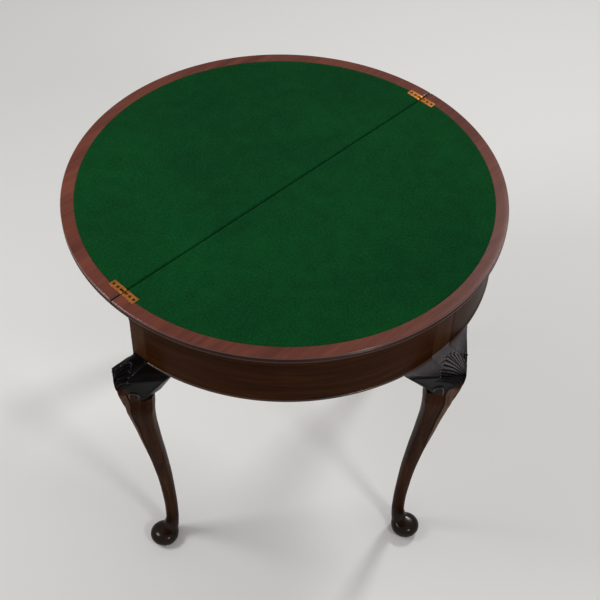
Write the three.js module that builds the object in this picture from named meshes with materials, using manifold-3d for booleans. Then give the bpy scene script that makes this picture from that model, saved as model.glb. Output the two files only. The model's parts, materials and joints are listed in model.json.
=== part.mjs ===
// Demi-lune card table: two half-round leaves lined with baize, a bowed frieze, three fixed
// cabriole legs and a fourth on a fly rail that swings out under the opened leaf.
// Millimetres, +Z up. The table stands open. X runs along the fold, -Y is the bowed front.
import * as THREE from "three";
import { mergeVertices } from "three/addons/utils/BufferGeometryUtils.js";
import Module from "manifold-3d";

const wasm = await Module();
wasm.setup();

// Overall sizes
const tableHeight = 731;
const topRadius = 406;
const leafThickness = 15;
const friezeOverhang = 16; // leaf edge to frieze face
const friezeDepth = 119; // top to bottom of the frieze
const topRailDepth = 29; // the part of the frieze above the leg posts

// Fits
const glueLine = 0.3; // between pieces that are glued or screwed together
const runningGap = 0.05; // radial, pin in its hole
const cutOverrun = 2; // how far a cutting tool passes the surface it cuts
const roundSides = 20; // sides of a small turned piece
const screwSides = 12;
const weld = 1e-4; // points nearer than this are one point

// Places that follow from the overall sizes
const leafUnderside = tableHeight - leafThickness;
const friezeRadius = topRadius - friezeOverhang;
const friezeBottom = leafUnderside - friezeDepth;
const topRailBottom = leafUnderside - topRailDepth;

// Materials, with the colours of the photographed table
const mahogany = { color: 0x5a2c20, roughness: 0.35, metalness: 0 };
const darkMahogany = { color: 0x2c160d, roughness: 0.3, metalness: 0 };
const kneeBlack = { color: 0x17100e, roughness: 0.2, metalness: 0 };
const baizeGreen = { color: 0x0f4a22, roughness: 0.95, metalness: 0 };
const brass = { color: 0xc98f4a, roughness: 0.35, metalness: 1 };
const steel = { color: 0x6d655c, roughness: 0.45, metalness: 1 };
const pine = { color: 0x8a6238, roughness: 0.7, metalness: 0 };

// A geometry of three.js as a solid that can be joined and cut
function solid(geometry) {
  const bare = new THREE.BufferGeometry();
  bare.setAttribute("position", geometry.getAttribute("position").clone());
  if (geometry.index) bare.setIndex(geometry.index.clone());
  const merged = mergeVertices(bare, weld);
  const kept = [];
  const index = merged.index.array;
  for (let i = 0; i < index.length; i += 3) {
    const [a, b, c] = [index[i], index[i + 1], index[i + 2]];
    if (a !== b && b !== c && c !== a) kept.push(a, b, c);
  }
  const vertProperties = new Float32Array(merged.getAttribute("position").array);
  const triVerts = new Uint32Array(kept);
  return new wasm.Manifold(new wasm.Mesh({ numProp: 3, vertProperties, triVerts }));
}

// A solid as a named mesh
function piece(name, made, material) {
  const mesh = made.getMesh();
  const geometry = new THREE.BufferGeometry();
  geometry.setAttribute("position", new THREE.BufferAttribute(mesh.vertProperties, 3));
  geometry.setIndex(new THREE.BufferAttribute(mesh.triVerts, 1));
  geometry.computeVertexNormals();
  const result = new THREE.Mesh(geometry, new THREE.MeshStandardMaterial(material));
  result.name = name;
  return result;
}

// A block between two corners
function block(low, high) {
  const size = high.map((value, axis) => value - low[axis]);
  const middle = high.map((value, axis) => (value + low[axis]) / 2);
  return solid(new THREE.BoxGeometry(...size).translate(...middle));
}

// A turned piece about Z from [radius, height] points, listed from the bottom up
function turned(profile, sides = roundSides) {
  return solid(new THREE.LatheGeometry(profile.map((p) => new THREE.Vector2(...p)), sides)
    .rotateX(Math.PI / 2));
}

// A flat outline in X and Y raised from one height to another
function raised(outline, bottom, top) {
  const shape = new THREE.Shape(outline.map((p) => new THREE.Vector2(...p)));
  const options = { depth: top - bottom, bevelEnabled: false };
  return solid(new THREE.ExtrudeGeometry(shape, options).translate(0, 0, bottom));
}

// An upright round rod, and the hole that a rod of that radius turns in
function rod(radius, bottom, top, sides = roundSides) {
  return turned([[0, bottom], [radius, bottom], [radius, top], [0, top]], sides);
}
function holeRadius(radius) {
  return (radius + runningGap) / Math.cos(Math.PI / roundSides);
}

// A closed skin over rings of points that all have the same count
function loft(rings) {
  const count = rings[0].length;
  const positions = rings.flat(2);
  const index = [];
  rings.slice(1).forEach((_, ring) => {
    for (let i = 0; i < count; i += 1) {
      const next = (i + 1) % count;
      const [a, b] = [ring * count + i, ring * count + next];
      index.push(a, b, b + count, a, b + count, a + count);
    }
  });
  [0, rings.length - 1].forEach((ring) => {
    const centre = new THREE.Vector3();
    rings[ring].forEach((p) => centre.add(new THREE.Vector3(...p)));
    const hub = positions.length / 3;
    positions.push(...centre.divideScalar(count).toArray());
    for (let i = 0; i < count; i += 1) {
      const edge = [ring * count + i, ring * count + ((i + 1) % count)];
      if (ring === 0) edge.reverse();
      index.push(hub, ...edge);
    }
  });
  const geometry = new THREE.BufferGeometry();
  geometry.setAttribute("position", new THREE.Float32BufferAttribute(positions, 3));
  geometry.setIndex(index);
  return solid(geometry);
}

// Points of a circular arc from one angle to another, both included
function arc(radius, from, to, steps, centre = [0, 0]) {
  return Array.from({ length: steps + 1 }, (_, i) => {
    const angle = from + ((to - from) * i) / steps;
    return [centre[0] + radius * Math.cos(angle), centre[1] + radius * Math.sin(angle)];
  });
}

// A smooth curve through a table of [place, value] pairs, level beyond its ends
function curveThrough(table) {
  const places = table.map(([place]) => place);
  const values = table.map(([, value]) => value);
  const curve = new THREE.CubicInterpolant(places, values, 1);
  return (place) => curve.evaluate(place)[0];
}

// A ring turned about Z from a closed [radius, height] profile
function turnedRing(profile, sides) {
  return turned([...profile, profile[0]], sides);
}

// A countersunk wood screw, head up at Z = 0, and the hole that it fills
function woodScrew(screw) {
  const slot = block(
    [-screw.head - cutOverrun, -screw.slotWidth / 2, -screw.slotDepth],
    [screw.head + cutOverrun, screw.slotWidth / 2, cutOverrun],
  );
  return turned([
    [0, -screw.length],
    [screw.shank / 2, -screw.length + screw.shank],
    [screw.shank, -screw.length + 2 * screw.shank],
    [screw.shank, -screw.headDepth],
    [screw.head, 0],
    [0, 0],
  ], screwSides).subtract(slot).translate([0, 0, -glueLine / 2]);
}
function screwSpace(screw) {
  return turned([
    [0, -screw.length - glueLine],
    [screw.shank + glueLine, -screw.length - glueLine],
    [screw.shank + glueLine, -screw.headDepth - glueLine],
    [screw.head + glueLine, -glueLine / 2],
    [screw.head + glueLine, cutOverrun],
    [0, cutOverrun],
  ], screwSides);
}

// Leaves: half rounds with a moulded edge, sunk for the baize and mortised for the hinges.
// The moulding is a small round arris and a fillet above a quirk and a large bead.
const leafSteps = 96;
const beadSteps = 6;
const arrisSteps = 2;
const arrisRadius = 1.5;
const filletHeight = 3.6;
const quirkDepth = 2.3;
const beadRadius = 4.6;
const bandWidth = 24; // leaf edge to baize
const baizeSink = 1;
const baizeThickness = 0.8;
const foldGap = 1; // between the leaves when open
const baizeRadius = topRadius - bandWidth;

// Link hinges: two slotted plates let in flush, joined by a link on two pins
const hingeInset = 28; // leaf edge to hinge centre
const plateLength = 31;
const plateWidth = 14;
const plateThickness = 2.6;
const pinSetback = 4.2; // joint edge to pin
const closedGap = 0.6; // between the leaves when folded
const hingePinRadius = 1.3;
const linkThickness = 4;
const linkPlay = 0.3; // beside and round the link
const linkSteps = 8; // in each rounded end
const hingeScrew = { head: 2.7, headDepth: 1.5, shank: 1.3, length: 10, slotWidth: 0.7, slotDepth: 0.8 };
const screwPlaceShares = [0.48, 0.81]; // along the plate from the joint
const hingeAcross = topRadius - hingeInset; // fold centre to hinge centre
const linkReach = foldGap + 2 * pinSetback; // pin to pin
const pinDepth = (linkReach - closedGap) / 2; // surface to pin
const linkRadius = pinDepth - closedGap;
const lugLength = pinSetback + linkRadius + linkPlay;
const lugDepth = pinDepth + linkRadius;

// The joint's top corners are rounded about the pins, so that they pass as the leaf turns
const cornerClearance = 0.15;
const cornerRadius = linkReach / 2 - cornerClearance;
const cornerSides = 40; // of the whole round

// A turned piece laid along X about a point given by its Y and Z
function alongX(made, y, z) {
  return made.rotate([0, 90, 0]).translate([0, y, z]);
}

// The pieces of one leaf are drawn for the +Y side at hinge X = 0, with the surface at Z = 0
function hingePlate() {
  const joint = foldGap / 2;
  const half = plateWidth / 2;
  const slot = linkThickness / 2 + linkPlay;
  const slotEnd = joint + lugLength;
  let made = block([-half, joint, -plateThickness], [half, joint + plateLength, 0]);
  made = made.add(block([-half, joint, -lugDepth], [half, slotEnd + linkPlay, -plateThickness / 2]));
  made = made.subtract(block(
    [-slot, joint - cutOverrun, -lugDepth - cutOverrun],
    [slot, slotEnd, cutOverrun],
  ));
  const hole = rod(holeRadius(hingePinRadius), -plateWidth, plateWidth);
  made = made.subtract(alongX(hole, joint + pinSetback, -pinDepth));
  screwPlaceShares.forEach((share) => {
    made = made.subtract(screwSpace(hingeScrew).translate([0, joint + plateLength * share, 0]));
  });
  return made.subtract(jointCut());
}

function hingePin() {
  return rod(hingePinRadius, -plateWidth / 2 + linkPlay, plateWidth / 2 - linkPlay);
}

function hingeLink() {
  const half = linkReach / 2;
  const ends = [0, 1].flatMap((end) => {
    const start = end * Math.PI - Math.PI / 2;
    return arc(linkRadius, start, start + Math.PI, linkSteps, [half - end * linkReach, 0]);
  });
  let made = raised(ends, -linkThickness / 2, linkThickness / 2).rotate([90, 0, 90]);
  [-half, half].forEach((y) => {
    made = made.subtract(alongX(rod(holeRadius(hingePinRadius), -plateWidth, plateWidth), y, 0));
  });
  return made.translate([0, 0, -pinDepth]);
}

function hingeMortise() {
  const joint = foldGap / 2;
  const half = plateWidth / 2 + glueLine;
  let made = block(
    [-half, joint - cutOverrun, -plateThickness - glueLine],
    [half, joint + plateLength + glueLine, cutOverrun],
  );
  made = made.add(block(
    [-half, joint - cutOverrun, -lugDepth - glueLine],
    [half, joint + lugLength + linkPlay + glueLine, 0],
  ));
  screwPlaceShares.forEach((share) => {
    made = made.add(screwSpace(hingeScrew).translate([0, joint + plateLength * share, 0]));
  });
  return made;
}

// What is taken off a leaf, its baize and its plates along the joint, and the leaf's half of
// the circle
function jointCut() {
  const pin = foldGap / 2 + pinSetback;
  const far = topRadius + cutOverrun;
  const corner = block([-far, -cutOverrun, -pinDepth], [far, pin, cutOverrun]);
  const round = rod(cornerRadius, -far - cutOverrun, far + cutOverrun, cornerSides);
  return corner.subtract(alongX(round, pin, -pinDepth));
}
function leafHalf() {
  const far = topRadius + cutOverrun;
  return block([-far, foldGap / 2, -leafThickness - cutOverrun], [far, far, cutOverrun]);
}
function cutForHinges(made) {
  return [-hingeAcross, hingeAcross].reduce(
    (left, x) => left.subtract(hingeMortise().translate([x, 0, 0])),
    made.subtract(jointCut()),
  );
}

// The leaf on the +Y side with its surface at Z = 0
function leaf() {
  const beadCentre = [topRadius - beadRadius, -leafThickness + beadRadius];
  const beadStart = Math.acos(1 - quirkDepth / beadRadius);
  const underside = -leafThickness;
  const edge = [
    ...arc(beadRadius, -Math.PI / 2, beadStart, beadSteps, beadCentre),
    [topRadius - quirkDepth, -filletHeight],
    [topRadius, -filletHeight],
    ...arc(arrisRadius, 0, Math.PI / 2, arrisSteps, [topRadius - arrisRadius, -arrisRadius]),
  ];
  const sunk = [[baizeRadius, 0], [baizeRadius, -baizeSink], [0, -baizeSink]];
  return cutForHinges(turned([[0, underside], ...edge, ...sunk], leafSteps).intersect(leafHalf()));
}

function baize() {
  const radius = baizeRadius - glueLine;
  const top = baizeThickness - baizeSink;
  const disc = turned([[0, -baizeSink], [radius, -baizeSink], [radius, top], [0, top]], leafSteps);
  return cutForHinges(disc.intersect(leafHalf()));
}

// Frieze: two bowed rails between the leg posts, under a continuous top rail, with a bead let
// into their lower edge and blocks glued behind the top rail to take the screws of the top
const railThickness = 22;
const backPlane = 21; // fold line to the back of the fixed frame
const frontPostWidth = 48;
const cornerPostWidth = 35;
const postDepth = 48;
const bowSteps = 24; // in a quarter of the bow
const friezeBeadRadius = 2.5;
const friezeBeadStand = 1.5; // beyond the frieze face
const friezeBeadDepth = 3; // into the frieze face
const topRailStand = 0.6; // beyond the frieze face
const cornerPostCentre = backPlane + cornerPostWidth / 2;
const railInside = friezeRadius - railThickness;

// A ring of the frieze, from a closed [radius, height] profile, as far back as its back plane
function bowed(profile, back) {
  const far = topRadius + cutOverrun;
  return turnedRing(profile, 4 * bowSteps).intersect(block([-far, -far, 0], [far, -back, tableHeight]));
}
function slab(inner, outer, bottom, top) {
  return [[inner, bottom], [outer, bottom], [outer, top], [inner, top]];
}

// The part of a bowed piece between the front post and a corner post
function betweenPosts(made, side) {
  const far = topRadius + cutOverrun;
  const front = frontPostWidth / 2 + glueLine;
  const [low, high] = side > 0 ? [front, far] : [-far, -front];
  return made.intersect(block([low, -far, 0], [high, -cornerPostWidth - backPlane - glueLine, tableHeight]));
}

function friezeRail(side) {
  const rail = bowed(slab(railInside, friezeRadius, friezeBottom, topRailBottom - glueLine), backPlane);
  const rebate = slab(
    friezeRadius - friezeBeadDepth - glueLine,
    friezeRadius + cutOverrun,
    friezeBottom - cutOverrun,
    friezeBottom + 2 * friezeBeadRadius + glueLine,
  );
  return betweenPosts(rail.subtract(turnedRing(rebate, 4 * bowSteps)), side);
}

function friezeBead(side) {
  const back = friezeRadius - friezeBeadDepth;
  const centre = [friezeRadius + friezeBeadStand - friezeBeadRadius, friezeBottom + friezeBeadRadius];
  const profile = [
    [back, friezeBottom],
    ...arc(friezeBeadRadius, -Math.PI / 2, Math.PI / 2, 4, centre),
    [back, friezeBottom + 2 * friezeBeadRadius],
  ];
  return betweenPosts(bowed(profile, backPlane), side);
}

function topRail() {
  return bowed(slab(railInside, friezeRadius + topRailStand, topRailBottom, leafUnderside), backPlane);
}

// Glue blocks and the screws that go up through them into the fixed leaf
const blockWidth = 36;
const blockDepth = 26;
const blockHeight = 27;
const blockPlaceShares = [-0.66, -0.3, 0.3, 0.66]; // of a right angle either side of the front
const topScrew = { head: 4, headDepth: 2.4, shank: 2.1, length: 36, slotWidth: 1, slotDepth: 1.2 };
const blockScrewShare = 0.55; // of the block's depth, from its glued face to its screw
const blockScrewInset = blockDepth * blockScrewShare;

// A block is drawn with its glued face towards +X; its screw stands on the axis of X and Z
function glueBlock() {
  const made = block(
    [railInside - blockDepth, -blockWidth / 2, leafUnderside - glueLine - blockHeight],
    [railInside, blockWidth / 2, leafUnderside - glueLine],
  );
  const curve = rod(railInside - glueLine, 0, tableHeight, 4 * bowSteps);
  return made.intersect(curve).subtract(placedTopScrew(screwSpace(topScrew)));
}
function placedTopScrew(made) {
  return made.rotate([180, 0, 0])
    .translate([railInside - blockScrewInset, 0, leafUnderside - glueLine - blockHeight]);
}
function blockTurn(share) {
  return ((share - 1) * Math.PI) / 2;
}

// Cabriole legs. A leg is drawn with its knee towards +Y and its post's face at the frieze
// radius from Z. Its section is round at the ankle, and grows into a square on its corner.
const ankleRadius = 12.9;
const ankleHeight = 62;
const ankleInset = 37; // frieze face back to the ankle's centre
const kneeReach = 60; // frieze face out to the knee's arris
const kneeHalfWidth = 32;
const kneeAxisOut = 8; // frieze face out to the leg's centre just under the knee
const kneeDepth = 107; // frieze's bottom edge down to where the leg starts to widen into the knee
const kneeBlend = 22; // height over which the leg's section gives way to the knee's
const crownDrop = 12; // frieze's bottom edge down to the knee's farthest reach
const shoulderRise = 9; // the knee's top above the frieze's bottom edge
const earDrop = 82; // frieze's bottom edge down to the ear's lower corner
const earStart = frontPostWidth / 2; // leg centre to the ear's lower corner
const earSpread = 82; // leg centre to the tip of an ear of the front leg
const cornerEarSpread = 62; // the same on a corner leg
const earTipHeight = 7;
const earTipStand = 2; // how far the swell runs on past the ear's tip
const earDepth = 20;
const footRadius = 29;
const footHeight = 34;
const footInset = 12; // frieze face back to the foot's centre
const legSides = 24;
const footSides = 24;
const shoulderTop = friezeBottom + shoulderRise;
const kneeFoot = friezeBottom - kneeDepth;
const kneeCrown = friezeBottom - crownDrop;
const earBottom = friezeBottom - earDrop;
const earTipBottom = friezeBottom - earTipHeight;

// Shares of the run from ankle to knee: how far the centre line has moved out, how far the
// section has grown, and the power of its outline, from round to a soft square
const swayShares = [[0, 0], [0.1, 0.01], [0.19, 0.06], [0.28, 0.12], [0.37, 0.2], [0.46, 0.31],
  [0.56, 0.44], [0.65, 0.575], [0.74, 0.71], [0.84, 0.85], [0.93, 0.95], [1, 1]];
const growthShares = [[0, 0], [0.1, 0.005], [0.19, 0.04], [0.28, 0.09], [0.37, 0.15], [0.46, 0.21],
  [0.56, 0.28], [0.65, 0.34], [0.74, 0.435], [0.84, 0.55], [0.93, 0.77], [1, 1]];
const powerShares = [[0, 2], [0.15, 1.9], [0.3, 1.65], [0.5, 1.48], [0.7, 1.38], [1, 1.28]];
const sway = curveThrough(swayShares);
const growth = curveThrough(growthShares);
const squareness = curveThrough(powerShares);

// Shares of the knee's height: its reach, how hollow its sides are, how they spread into the
// ears, and where its rings are taken
const swellShares = [[0, 0.672], [0.17, 0.757], [0.34, 0.836], [0.5, 0.912], [0.64, 0.975], [0.78, 1],
  [1, 1]];
const hollowShares = [[0, 0.8], [0.4, 1.2], [0.75, 1.2], [1, 1]];
const spreadShares = [[0, 0], [0.25, 0.3], [0.5, 0.57], [0.75, 0.82], [0.9, 0.95], [1, 1]];
const swell = curveThrough(swellShares);
const spreading = curveThrough(spreadShares);
const hollowing = curveThrough(hollowShares);
const kneeRingShares = [0.1, 0.22, 0.36, 0.5, 0.62, 0.73, 0.82, 0.87, 0.905, 0.925, 0.95, 0.975, 1];
const shankRings = 12;

const { clamp, lerp, smoothstep } = THREE.MathUtils;

// How far the knee stands beyond the frieze face on its centre line, under a shoulder that ends
// at a given height
function reachAt(height, top) {
  const rising = kneeReach * swell((height - kneeFoot) / (shoulderTop - kneeFoot));
  const over = clamp((height - kneeCrown) / (top - kneeCrown), 0, 1);
  return rising * Math.sqrt(1 - over * over);
}

// How far from the leg's centre the swell spreads at a height, and the ear's lower edge there
function earEdge(across) {
  const share = clamp((across - earStart) / (earSpread - earStart), 0, 1);
  return lerp(earBottom, earTipBottom, share);
}
function spreadAt(height) {
  const share = clamp((height - earBottom) / (earTipBottom - earBottom), 0, 1);
  return lerp(kneeHalfWidth + kneeAxisOut, earSpread + earTipStand, spreading(share));
}

// The outer face of knee and ears: the frieze's curve with the knee's swell on it
function friezeFace(leg, across) {
  return leg.bowed ? Math.sqrt(friezeRadius ** 2 - (leg.offset + across) ** 2) : friezeRadius;
}
function kneeFace(leg, across, height) {
  const arch = Math.max(0, 1 - (across / (leg.postWidth / 2)) ** 2);
  const top = friezeBottom - glueLine + (shoulderRise + glueLine) * arch;
  const share = Math.max(0, 1 - Math.abs(across) / spreadAt(height));
  const hollow = hollowing(clamp((height - kneeFoot) / (kneeCrown - kneeFoot), 0, 1));
  return friezeFace(leg, across) + reachAt(height, top) * share ** hollow;
}

// Distance along a ray from a point inside an outline to the outline
function alongRay(middle, direction, inside) {
  let [near, far] = [0, kneeReach + postDepth];
  for (let halving = 0; halving < 30; halving += 1) {
    const trial = (near + far) / 2;
    if (inside(direction[0] * trial, middle + direction[1] * trial)) near = trial;
    else far = trial;
  }
  return near;
}

// One ring of the leg. Its rays spread from a middle that moves from the leg's centre line to
// the post's, and they end on the leg's section, on the knee's or between the two.
function legRing(leg, height) {
  const place = clamp((height - ankleHeight) / (kneeFoot - ankleHeight), 0, 1);
  const rise = clamp((height - kneeFoot) / (kneeCrown - kneeFoot), 0, 1);
  const over = clamp((height - kneeCrown) / (friezeBottom - kneeCrown), 0, 1);
  const knee = smoothstep(height, kneeFoot - kneeBlend, kneeFoot + kneeBlend);
  const centre = friezeRadius - ankleInset + (ankleInset + kneeAxisOut) * sway(place);
  const half = lerp(ankleRadius, kneeHalfWidth, growth(place));
  const power = squareness(place);
  const postHalf = leg.postWidth / 2;
  const side = lerp(kneeHalfWidth, postHalf, over ** 2);
  const postBack = lerp(centre, friezeRadius - postDepth, rise);
  const inShank = (x, y) =>
    (Math.abs(x) / half) ** power + (Math.abs(y - centre) / half) ** power <= 1;
  const inKnee = (x, y) => {
    const flank = (Math.abs(x) / side) ** power + (Math.max(0, centre - y) / side) ** power <= 1;
    const post = Math.abs(x) <= postHalf && y >= postBack;
    return (flank || post) && y <= kneeFace(leg, x, height);
  };
  const middle = lerp(centre, friezeRadius - postDepth / 2, rise);
  const narrow = lerp(1, leg.postWidth / postDepth, rise);
  return Array.from({ length: legSides }, (_, i) => {
    const angle = (2 * Math.PI * i) / legSides;
    const direction = [narrow * Math.cos(angle), Math.sin(angle)];
    const distance = lerp(
      knee < 1 ? alongRay(middle, direction, inShank) : 0,
      knee > 0 ? alongRay(middle, direction, inKnee) : 0,
      knee,
    );
    return [direction[0] * distance, middle + direction[1] * distance, height];
  });
}

// The pad foot, turned, with a thin pad under it
function foot() {
  const profileShares = [[0, 0], [0.72, 0], [0.76, 0.13], [0.86, 0.18], [0.97, 0.36], [1, 0.5],
    [0.95, 0.66], [0.78, 0.82], [0.5, 0.95], [0, 1]];
  const profile = profileShares.map(([across, up]) => [across * footRadius, up * footHeight]);
  return turned(profile, footSides).translate([0, friezeRadius - footInset, 0]);
}

// The instep, from inside the foot up to the ankle. Each row is a height as a share of the
// foot's, a move out as a share of the way to the foot's centre, and a share of its radius.
function instepRings() {
  const rowShares = [[0.2, 0.45, 0.62], [0.6, 0.45, 0.62], [0.85, 0.32, 0.58], [1.1, 0.17, 0.52],
    [1.4, 0.06, 0.465]];
  const ankle = friezeRadius - ankleInset;
  return rowShares.map(([up, out, size]) => Array.from({ length: legSides }, (_, i) => {
    const angle = (2 * Math.PI * i) / legSides;
    const radius = size * footRadius;
    const centre = ankle + out * (ankleInset - footInset);
    return [radius * Math.cos(angle), centre + radius * Math.sin(angle), up * footHeight];
  }));
}

// Leg, knee and post in one piece, cut back beside the post where an ear is glued on
function cabrioleLeg(leg) {
  const shank = Array.from({ length: shankRings }, (_, i) =>
    legRing(leg, lerp(ankleHeight, kneeFoot, i / (shankRings - 1))));
  const knee = kneeRingShares.map((share) => legRing(leg, lerp(kneeFoot, shoulderTop, share)));
  const postTop = legRing(leg, shoulderTop).map(([x, y]) => [x, y, leg.top]);
  const made = loft([...instepRings(), ...shank, ...knee, postTop]).add(foot());
  return leg.ears.reduce((left, side) => left.subtract(earSpace(leg, side)), made);
}

// The space beside the post for an ear, bounded below by the line of the ear's lower edge
function earSpace(leg, side) {
  const start = leg.postWidth / 2;
  const far = topRadius + kneeReach;
  const levelShare = Math.max(0, (earStart - start) / (earSpread - start));
  const outline = [
    [start, earBottom],
    [lerp(start, leg.earReach, levelShare), earBottom],
    [leg.earReach, earTipBottom],
    [far, earTipBottom],
    [far, tableHeight],
    [start, tableHeight],
  ];
  return raised(outline.map(([x, z]) => [side * x, z]), -far, 0).rotate([90, 0, 0]);
}

// An ear: a shaped block glued under the rail beside the knee, whose face carries the knee's
// swell on until it dies out in the frieze's curve at the tip
const earStations = 9;
const earFaceSteps = 6;
const earTaperShare = 0.6; // how much of its depth the ear loses by its tip
function ear(leg, side) {
  const start = leg.postWidth / 2 + glueLine;
  const top = friezeBottom - glueLine;
  const rings = Array.from({ length: earStations }, (_, i) => {
    const share = i / (earStations - 1);
    const across = side * lerp(start, leg.earReach, share);
    const swellAcross = side * lerp(start, earSpread, share);
    const bottom = earEdge(Math.abs(swellAcross)) + glueLine;
    const back = friezeFace(leg, across) - earDepth * (1 - earTaperShare * share);
    const face = Array.from({ length: earFaceSteps + 1 }, (_, k) => {
      const height = lerp(bottom, top, k / earFaceSteps);
      const proud = kneeFace(leg, swellAcross, height) - friezeFace(leg, swellAcross);
      return [across, friezeFace(leg, across) + proud, height];
    });
    return [[across, back, top], [across, back, bottom], ...face];
  });
  return loft(side > 0 ? rings : rings.reverse());
}

// Fly rail: swings on a knuckle joint and carries the fourth leg
const flyThickness = 21;
const flyAxisAcross = 112; // fold centre to the knuckle's axis
const flySetback = 1; // frieze face to the fly leg's post, when the fly rail is closed
const flyPostWidth = 33;
const flyDrop = 0.5; // the fly rail and leg under the open leaf
const flyRise = 13; // frieze's bottom edge up to the fly rail's
const knuckles = 5;
const knuckleSteps = 6;
const knucklePinRadius = 3;
const knucklePlay = 0.3; // between one knuckle and the next
const housingPlay = 2; // round the fly leg's post in the closed table
const backRailThickness = 24;
const flyAxisBack = backPlane - flyThickness / 2; // fold line to the knuckle's axis
const flyReach = friezeRadius - flySetback; // axis to the outer face of the fly leg's post
const flyBottom = friezeBottom + flyRise;
const flyTop = leafUnderside - flyDrop;
const frameInside = friezeRadius - postDepth; // fold centre to the inner face of a corner post
const fixedFlyLength = frameInside - flyAxisAcross - glueLine;
const flyScrew = { head: 4, headDepth: 2.4, shank: 2.1, length: 35, slotWidth: 1, slotDepth: 1.2 };
const flyScrewShares = [[0.35, 0.25], [0.35, 0.75], [0.85, 0.5]]; // along and up the fixed rail

// Plan of a board's knuckle end, drawn along +X from the axis. The shoulder on the +Y side is
// cut back at 45 degrees, so that the fly rail can turn until the two shoulders meet.
function knucklePlan(length, finger) {
  const half = flyThickness / 2;
  const radius = finger ? half : half + glueLine;
  const shoulder = Math.PI / 4 - Math.asin(glueLine / radius);
  const far = [[half + glueLine * Math.SQRT2, half], [length, half], [length, -half]];
  if (finger) return [...arc(radius, 1.5 * Math.PI, shoulder, 2 * knuckleSteps), ...far];
  return [...arc(radius, -Math.asin(half / radius), shoulder, knuckleSteps), ...far];
}

// A board whose end has knuckles, the lowest being a finger or a gap
function knuckledBoard(length, fingerFirst, play) {
  const pitch = (flyTop - flyBottom) / knuckles;
  const layers = Array.from({ length: knuckles }, (_, i) => {
    const finger = (i % 2 === 0) === fingerFirst;
    const trim = finger ? play : -play;
    const low = flyBottom + i * pitch + (i > 0 ? trim : 0);
    const high = flyBottom + (i + 1) * pitch - (i < knuckles - 1 ? trim : 0);
    return raised(knucklePlan(length, finger), low, high);
  });
  const bore = rod(holeRadius(knucklePinRadius), flyBottom - cutOverrun, flyTop + cutOverrun);
  return layers.reduce((left, layer) => left.add(layer)).subtract(bore);
}

// Puts a screw of the fixed fly rail, or its hole, in its place: head in the rail's back face
function placedFlyScrew(made, [along, up]) {
  const x = flyAxisAcross + along * fixedFlyLength;
  const z = lerp(flyBottom, flyTop, up);
  return made.rotate([-90, 0, 0]).translate([x, flyThickness - backPlane, z]);
}
function cutForFlyScrews(made) {
  return flyScrewShares.reduce(
    (left, place) => left.subtract(placedFlyScrew(screwSpace(flyScrew), place)),
    made,
  );
}

function backRail() {
  const half = frameInside - glueLine;
  const rail = block(
    [-half, -backPlane - backRailThickness, friezeBottom],
    [half, -backPlane - glueLine, leafUnderside],
  );
  // The housing takes the fly leg's post when the table is closed, and beyond it the rail's
  // lower edge is cut back over the top of the knee
  const outer = flyAxisAcross - flyReach;
  const depth = flyThickness - flyPostWidth - backPlane - housingPlay;
  const housing = block(
    [outer - housingPlay, depth, friezeBottom - cutOverrun],
    [outer + postDepth + housingPlay, 0, tableHeight],
  );
  const overKnee = block(
    [-frameInside, depth, friezeBottom - cutOverrun],
    [outer, 0, shoulderTop + housingPlay],
  );
  return cutForFlyScrews(rail.subtract(housing).subtract(overKnee));
}

// Everything below is placed in the table's own frame
const table = new THREE.Group();
table.name = "demi_lune_card_table";
const hands = [["left", -1], ["right", 1]];

// The fixed leaf lies on the -Y side and the folding leaf on the +Y side
const top = new THREE.Group();
top.position.z = tableHeight;
const fixedSide = new THREE.Group();
fixedSide.rotation.z = Math.PI;
const foldingSide = new THREE.Group();
top.add(fixedSide, foldingSide);
table.add(top);
const topScrewSpaces = blockPlaceShares.map((share) =>
  placedTopScrew(screwSpace(topScrew))
    .rotate([0, 0, 90 * (share + 1)])
    .translate([0, 0, -tableHeight]));
const fixedLeaf = topScrewSpaces.reduce((left, space) => left.subtract(space), leaf());
fixedSide.add(piece("fixed_leaf", fixedLeaf, mahogany));
fixedSide.add(piece("fixed_baize", baize(), baizeGreen));
foldingSide.add(piece("folding_leaf", leaf(), mahogany));
foldingSide.add(piece("folding_baize", baize(), baizeGreen));

// Hinges, left and right
hands.forEach(([hand, sign]) => {
  [[fixedSide, "fixed", -sign], [foldingSide, "folding", sign]].forEach(([group, word, turn]) => {
    const stem = hand + "_hinge_" + word;
    const across = turn * hingeAcross;
    const put = (name, made, material, y, z) => {
      const mesh = piece(stem + name, made, material);
      mesh.position.set(across, y, z);
      group.add(mesh);
    };
    put("_plate", hingePlate(), brass, 0, 0);
    put("_pin", alongX(hingePin(), 0, 0), steel, foldGap / 2 + pinSetback, -pinDepth);
    screwPlaceShares.forEach((share, i) => {
      put("_screw_" + (i + 1), woodScrew(hingeScrew), brass, foldGap / 2 + plateLength * share, 0);
    });
  });
  const link = piece(hand + "_hinge_link", hingeLink(), brass);
  link.position.x = sign * hingeAcross;
  top.add(link);
});

// Frieze
table.add(piece("frieze_top_rail", topRail(), darkMahogany));
hands.forEach(([hand, sign]) => {
  table.add(piece(hand + "_frieze_rail", friezeRail(sign), darkMahogany));
  table.add(piece(hand + "_frieze_bead", friezeBead(sign), darkMahogany));
});
blockPlaceShares.forEach((share, i) => {
  const group = new THREE.Group();
  group.rotation.z = blockTurn(share);
  group.add(piece("glue_block_" + (i + 1), glueBlock(), pine));
  group.add(piece("top_screw_" + (i + 1), placedTopScrew(woodScrew(topScrew)), steel));
  table.add(group);
});

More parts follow.
